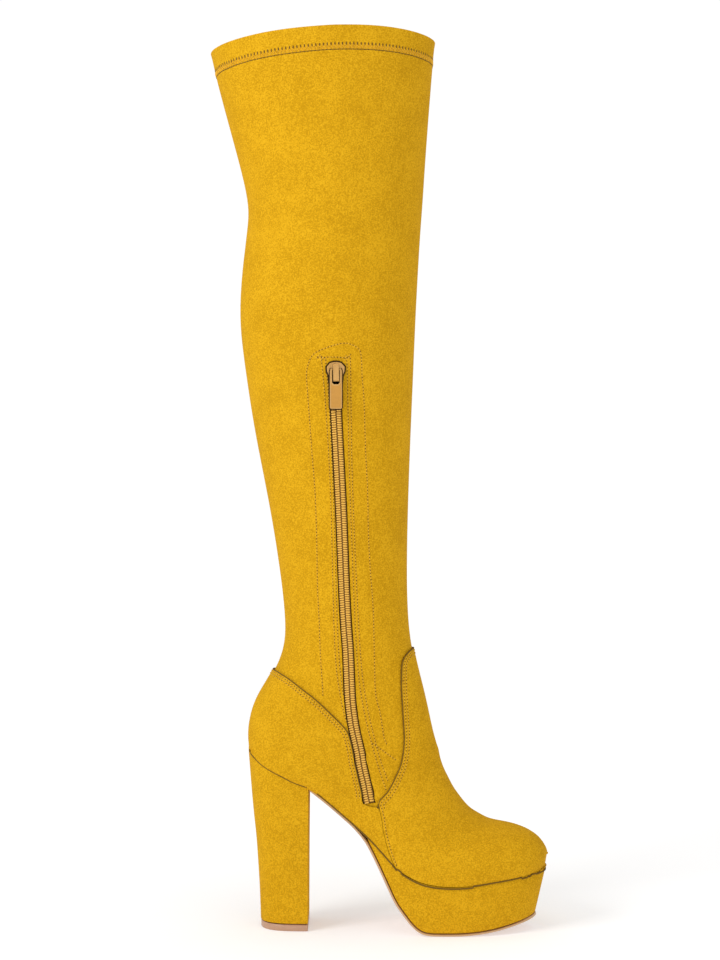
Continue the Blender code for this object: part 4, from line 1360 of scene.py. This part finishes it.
# The floor's half width and white, its glow by distance from the origin, and the strengths of
# the world as a light and as the paper behind the boot.
FLOOR_REACH = 6
FLOOR_WHITE = 0.80
FLOOR_GLOW = (
    # from, to, gain
    (0.0, 0.02, 0.32),
    (0.05, 0.30, 0.09),
    (0.30, 4.0, 0.22),
)
WORLD_STRENGTH = 0.52
PAPER_STRENGTH = 1.02
LIGHTS = (
    # name, place, goal, size, power
    ("key", (-1.5, -1.3, 1.5), (0.05, 0.0, 0.25), 1.0, 22.0),
    ("top", (0.1, -0.2, 2.2), (0.05, 0.0, 0.0), 1.8, 8.0),
    ("front", (0.8, -2.2, 0.9), (0.05, 0.0, 0.3), 1.6, 5.0),
)


class BOOT_OT_stage(bpy.types.Operator):
    """Makes the pale floor, the soft lights and the photograph's camera"""

    bl_idname = "boot.stage"
    bl_label = "Stage"

    def execute(self, context):
        far = FLOOR_REACH
        floor = new_object("floor", [(-far, -far, 0), (far, -far, 0), (far, far, 0),
                                     (-far, far, 0)], [(0, 1, 2, 3)])
        pale = Finish("pale_floor", {"Base Color": opaque([FLOOR_WHITE] * 3), "Roughness": 0.9,
                                     "Specular IOR Level": 0.0, "Emission Strength": 1.0})
        away = pale.node("ShaderNodeVectorMath", {"operation": "LENGTH"}, {0: pale.place}, 1)
        glow = 0.0
        for start, end, gain in FLOOR_GLOW:
            glow = glow + pale.ramp(away, start, end, gain)
        pale.feed(pale.shader.inputs["Emission Color"], glow)
        floor.data.materials.append(pale.material)
        world = bpy.data.worlds.new("studio")
        world.use_nodes = True
        tree = world.node_tree
        mixed = tree.nodes.new("ShaderNodeMixShader")
        for back, strength, socket in (
                (tree.nodes["Background"], WORLD_STRENGTH, 1),
                (tree.nodes.new("ShaderNodeBackground"), PAPER_STRENGTH, 2)):
            back.inputs["Color"].default_value = opaque([1.0] * 3)
            back.inputs["Strength"].default_value = strength
            tree.links.new(back.outputs[0], mixed.inputs[socket])
        seen = tree.nodes.new("ShaderNodeLightPath")
        tree.links.new(seen.outputs["Is Camera Ray"], mixed.inputs[0])
        tree.links.new(mixed.outputs[0], tree.nodes["World Output"].inputs["Surface"])
        context.scene.world = world
        for name, place, goal, size, power in LIGHTS:
            lamp = bpy.data.lights.new(name, "AREA")
            lamp.energy = power
            lamp.size = size
            lit = bpy.data.objects.new(name, lamp)
            lit.location = place
            towards = Vector(goal) - Vector(place)
            lit.rotation_euler = towards.to_track_quat("-Z", "Y").to_euler()
            context.scene.collection.objects.link(lit)
        lens = bpy.data.cameras.new("photo_camera")
        lens.lens = CAMERA_LENS
        lens.sensor_width = SENSOR_LENGTH
        lens.sensor_fit = "AUTO"
        lens.clip_end = 50.0
        camera = bpy.data.objects.new("photo_camera", lens)
        camera.location = CAMERA_PLACE
        camera.rotation_euler = (math.radians(90), 0.0, 0.0)
        context.scene.collection.objects.link(camera)
        context.scene.camera = camera
        context.scene.view_settings.view_transform = "Standard"
        return {"FINISHED"}


class BOOT_PT_panel(bpy.types.Panel):
    """Lists the boot's sizes, colours and steps"""

    bl_label = "Boot"
    bl_idname = "BOOT_PT_panel"
    bl_space_type = "VIEW_3D"
    bl_region_type = "UI"
    bl_category = "Boot"

    def draw(self, context):
        for group in settings(context):
            box = self.layout.box()
            for name in group.__annotations__:
                box.prop(group, name)
        for step in STEPS:
            self.layout.operator(step.bl_idname)


STEPS = (BOOT_OT_upper, BOOT_OT_overlays, BOOT_OT_sole, BOOT_OT_heel, BOOT_OT_zip,
         BOOT_OT_stitching, BOOT_OT_stage)
CLASSES = (BootColours, BootSizes, *STEPS, BOOT_PT_panel)


def register():
    for made in CLASSES:
        bpy.utils.register_class(made)
    bpy.types.Scene.boot_colours = PointerProperty(type=BootColours)
    bpy.types.Scene.boot_sizes = PointerProperty(type=BootSizes)


def unregister():
    del bpy.types.Scene.boot_sizes
    del bpy.types.Scene.boot_colours
    for made in reversed(CLASSES):
        bpy.utils.unregister_class(made)


def main():
    register()
    for step in STEPS:
        group, name = step.bl_idname.split(".")
        getattr(getattr(bpy.ops, group), name)()


if __name__ == "__main__":
    main()
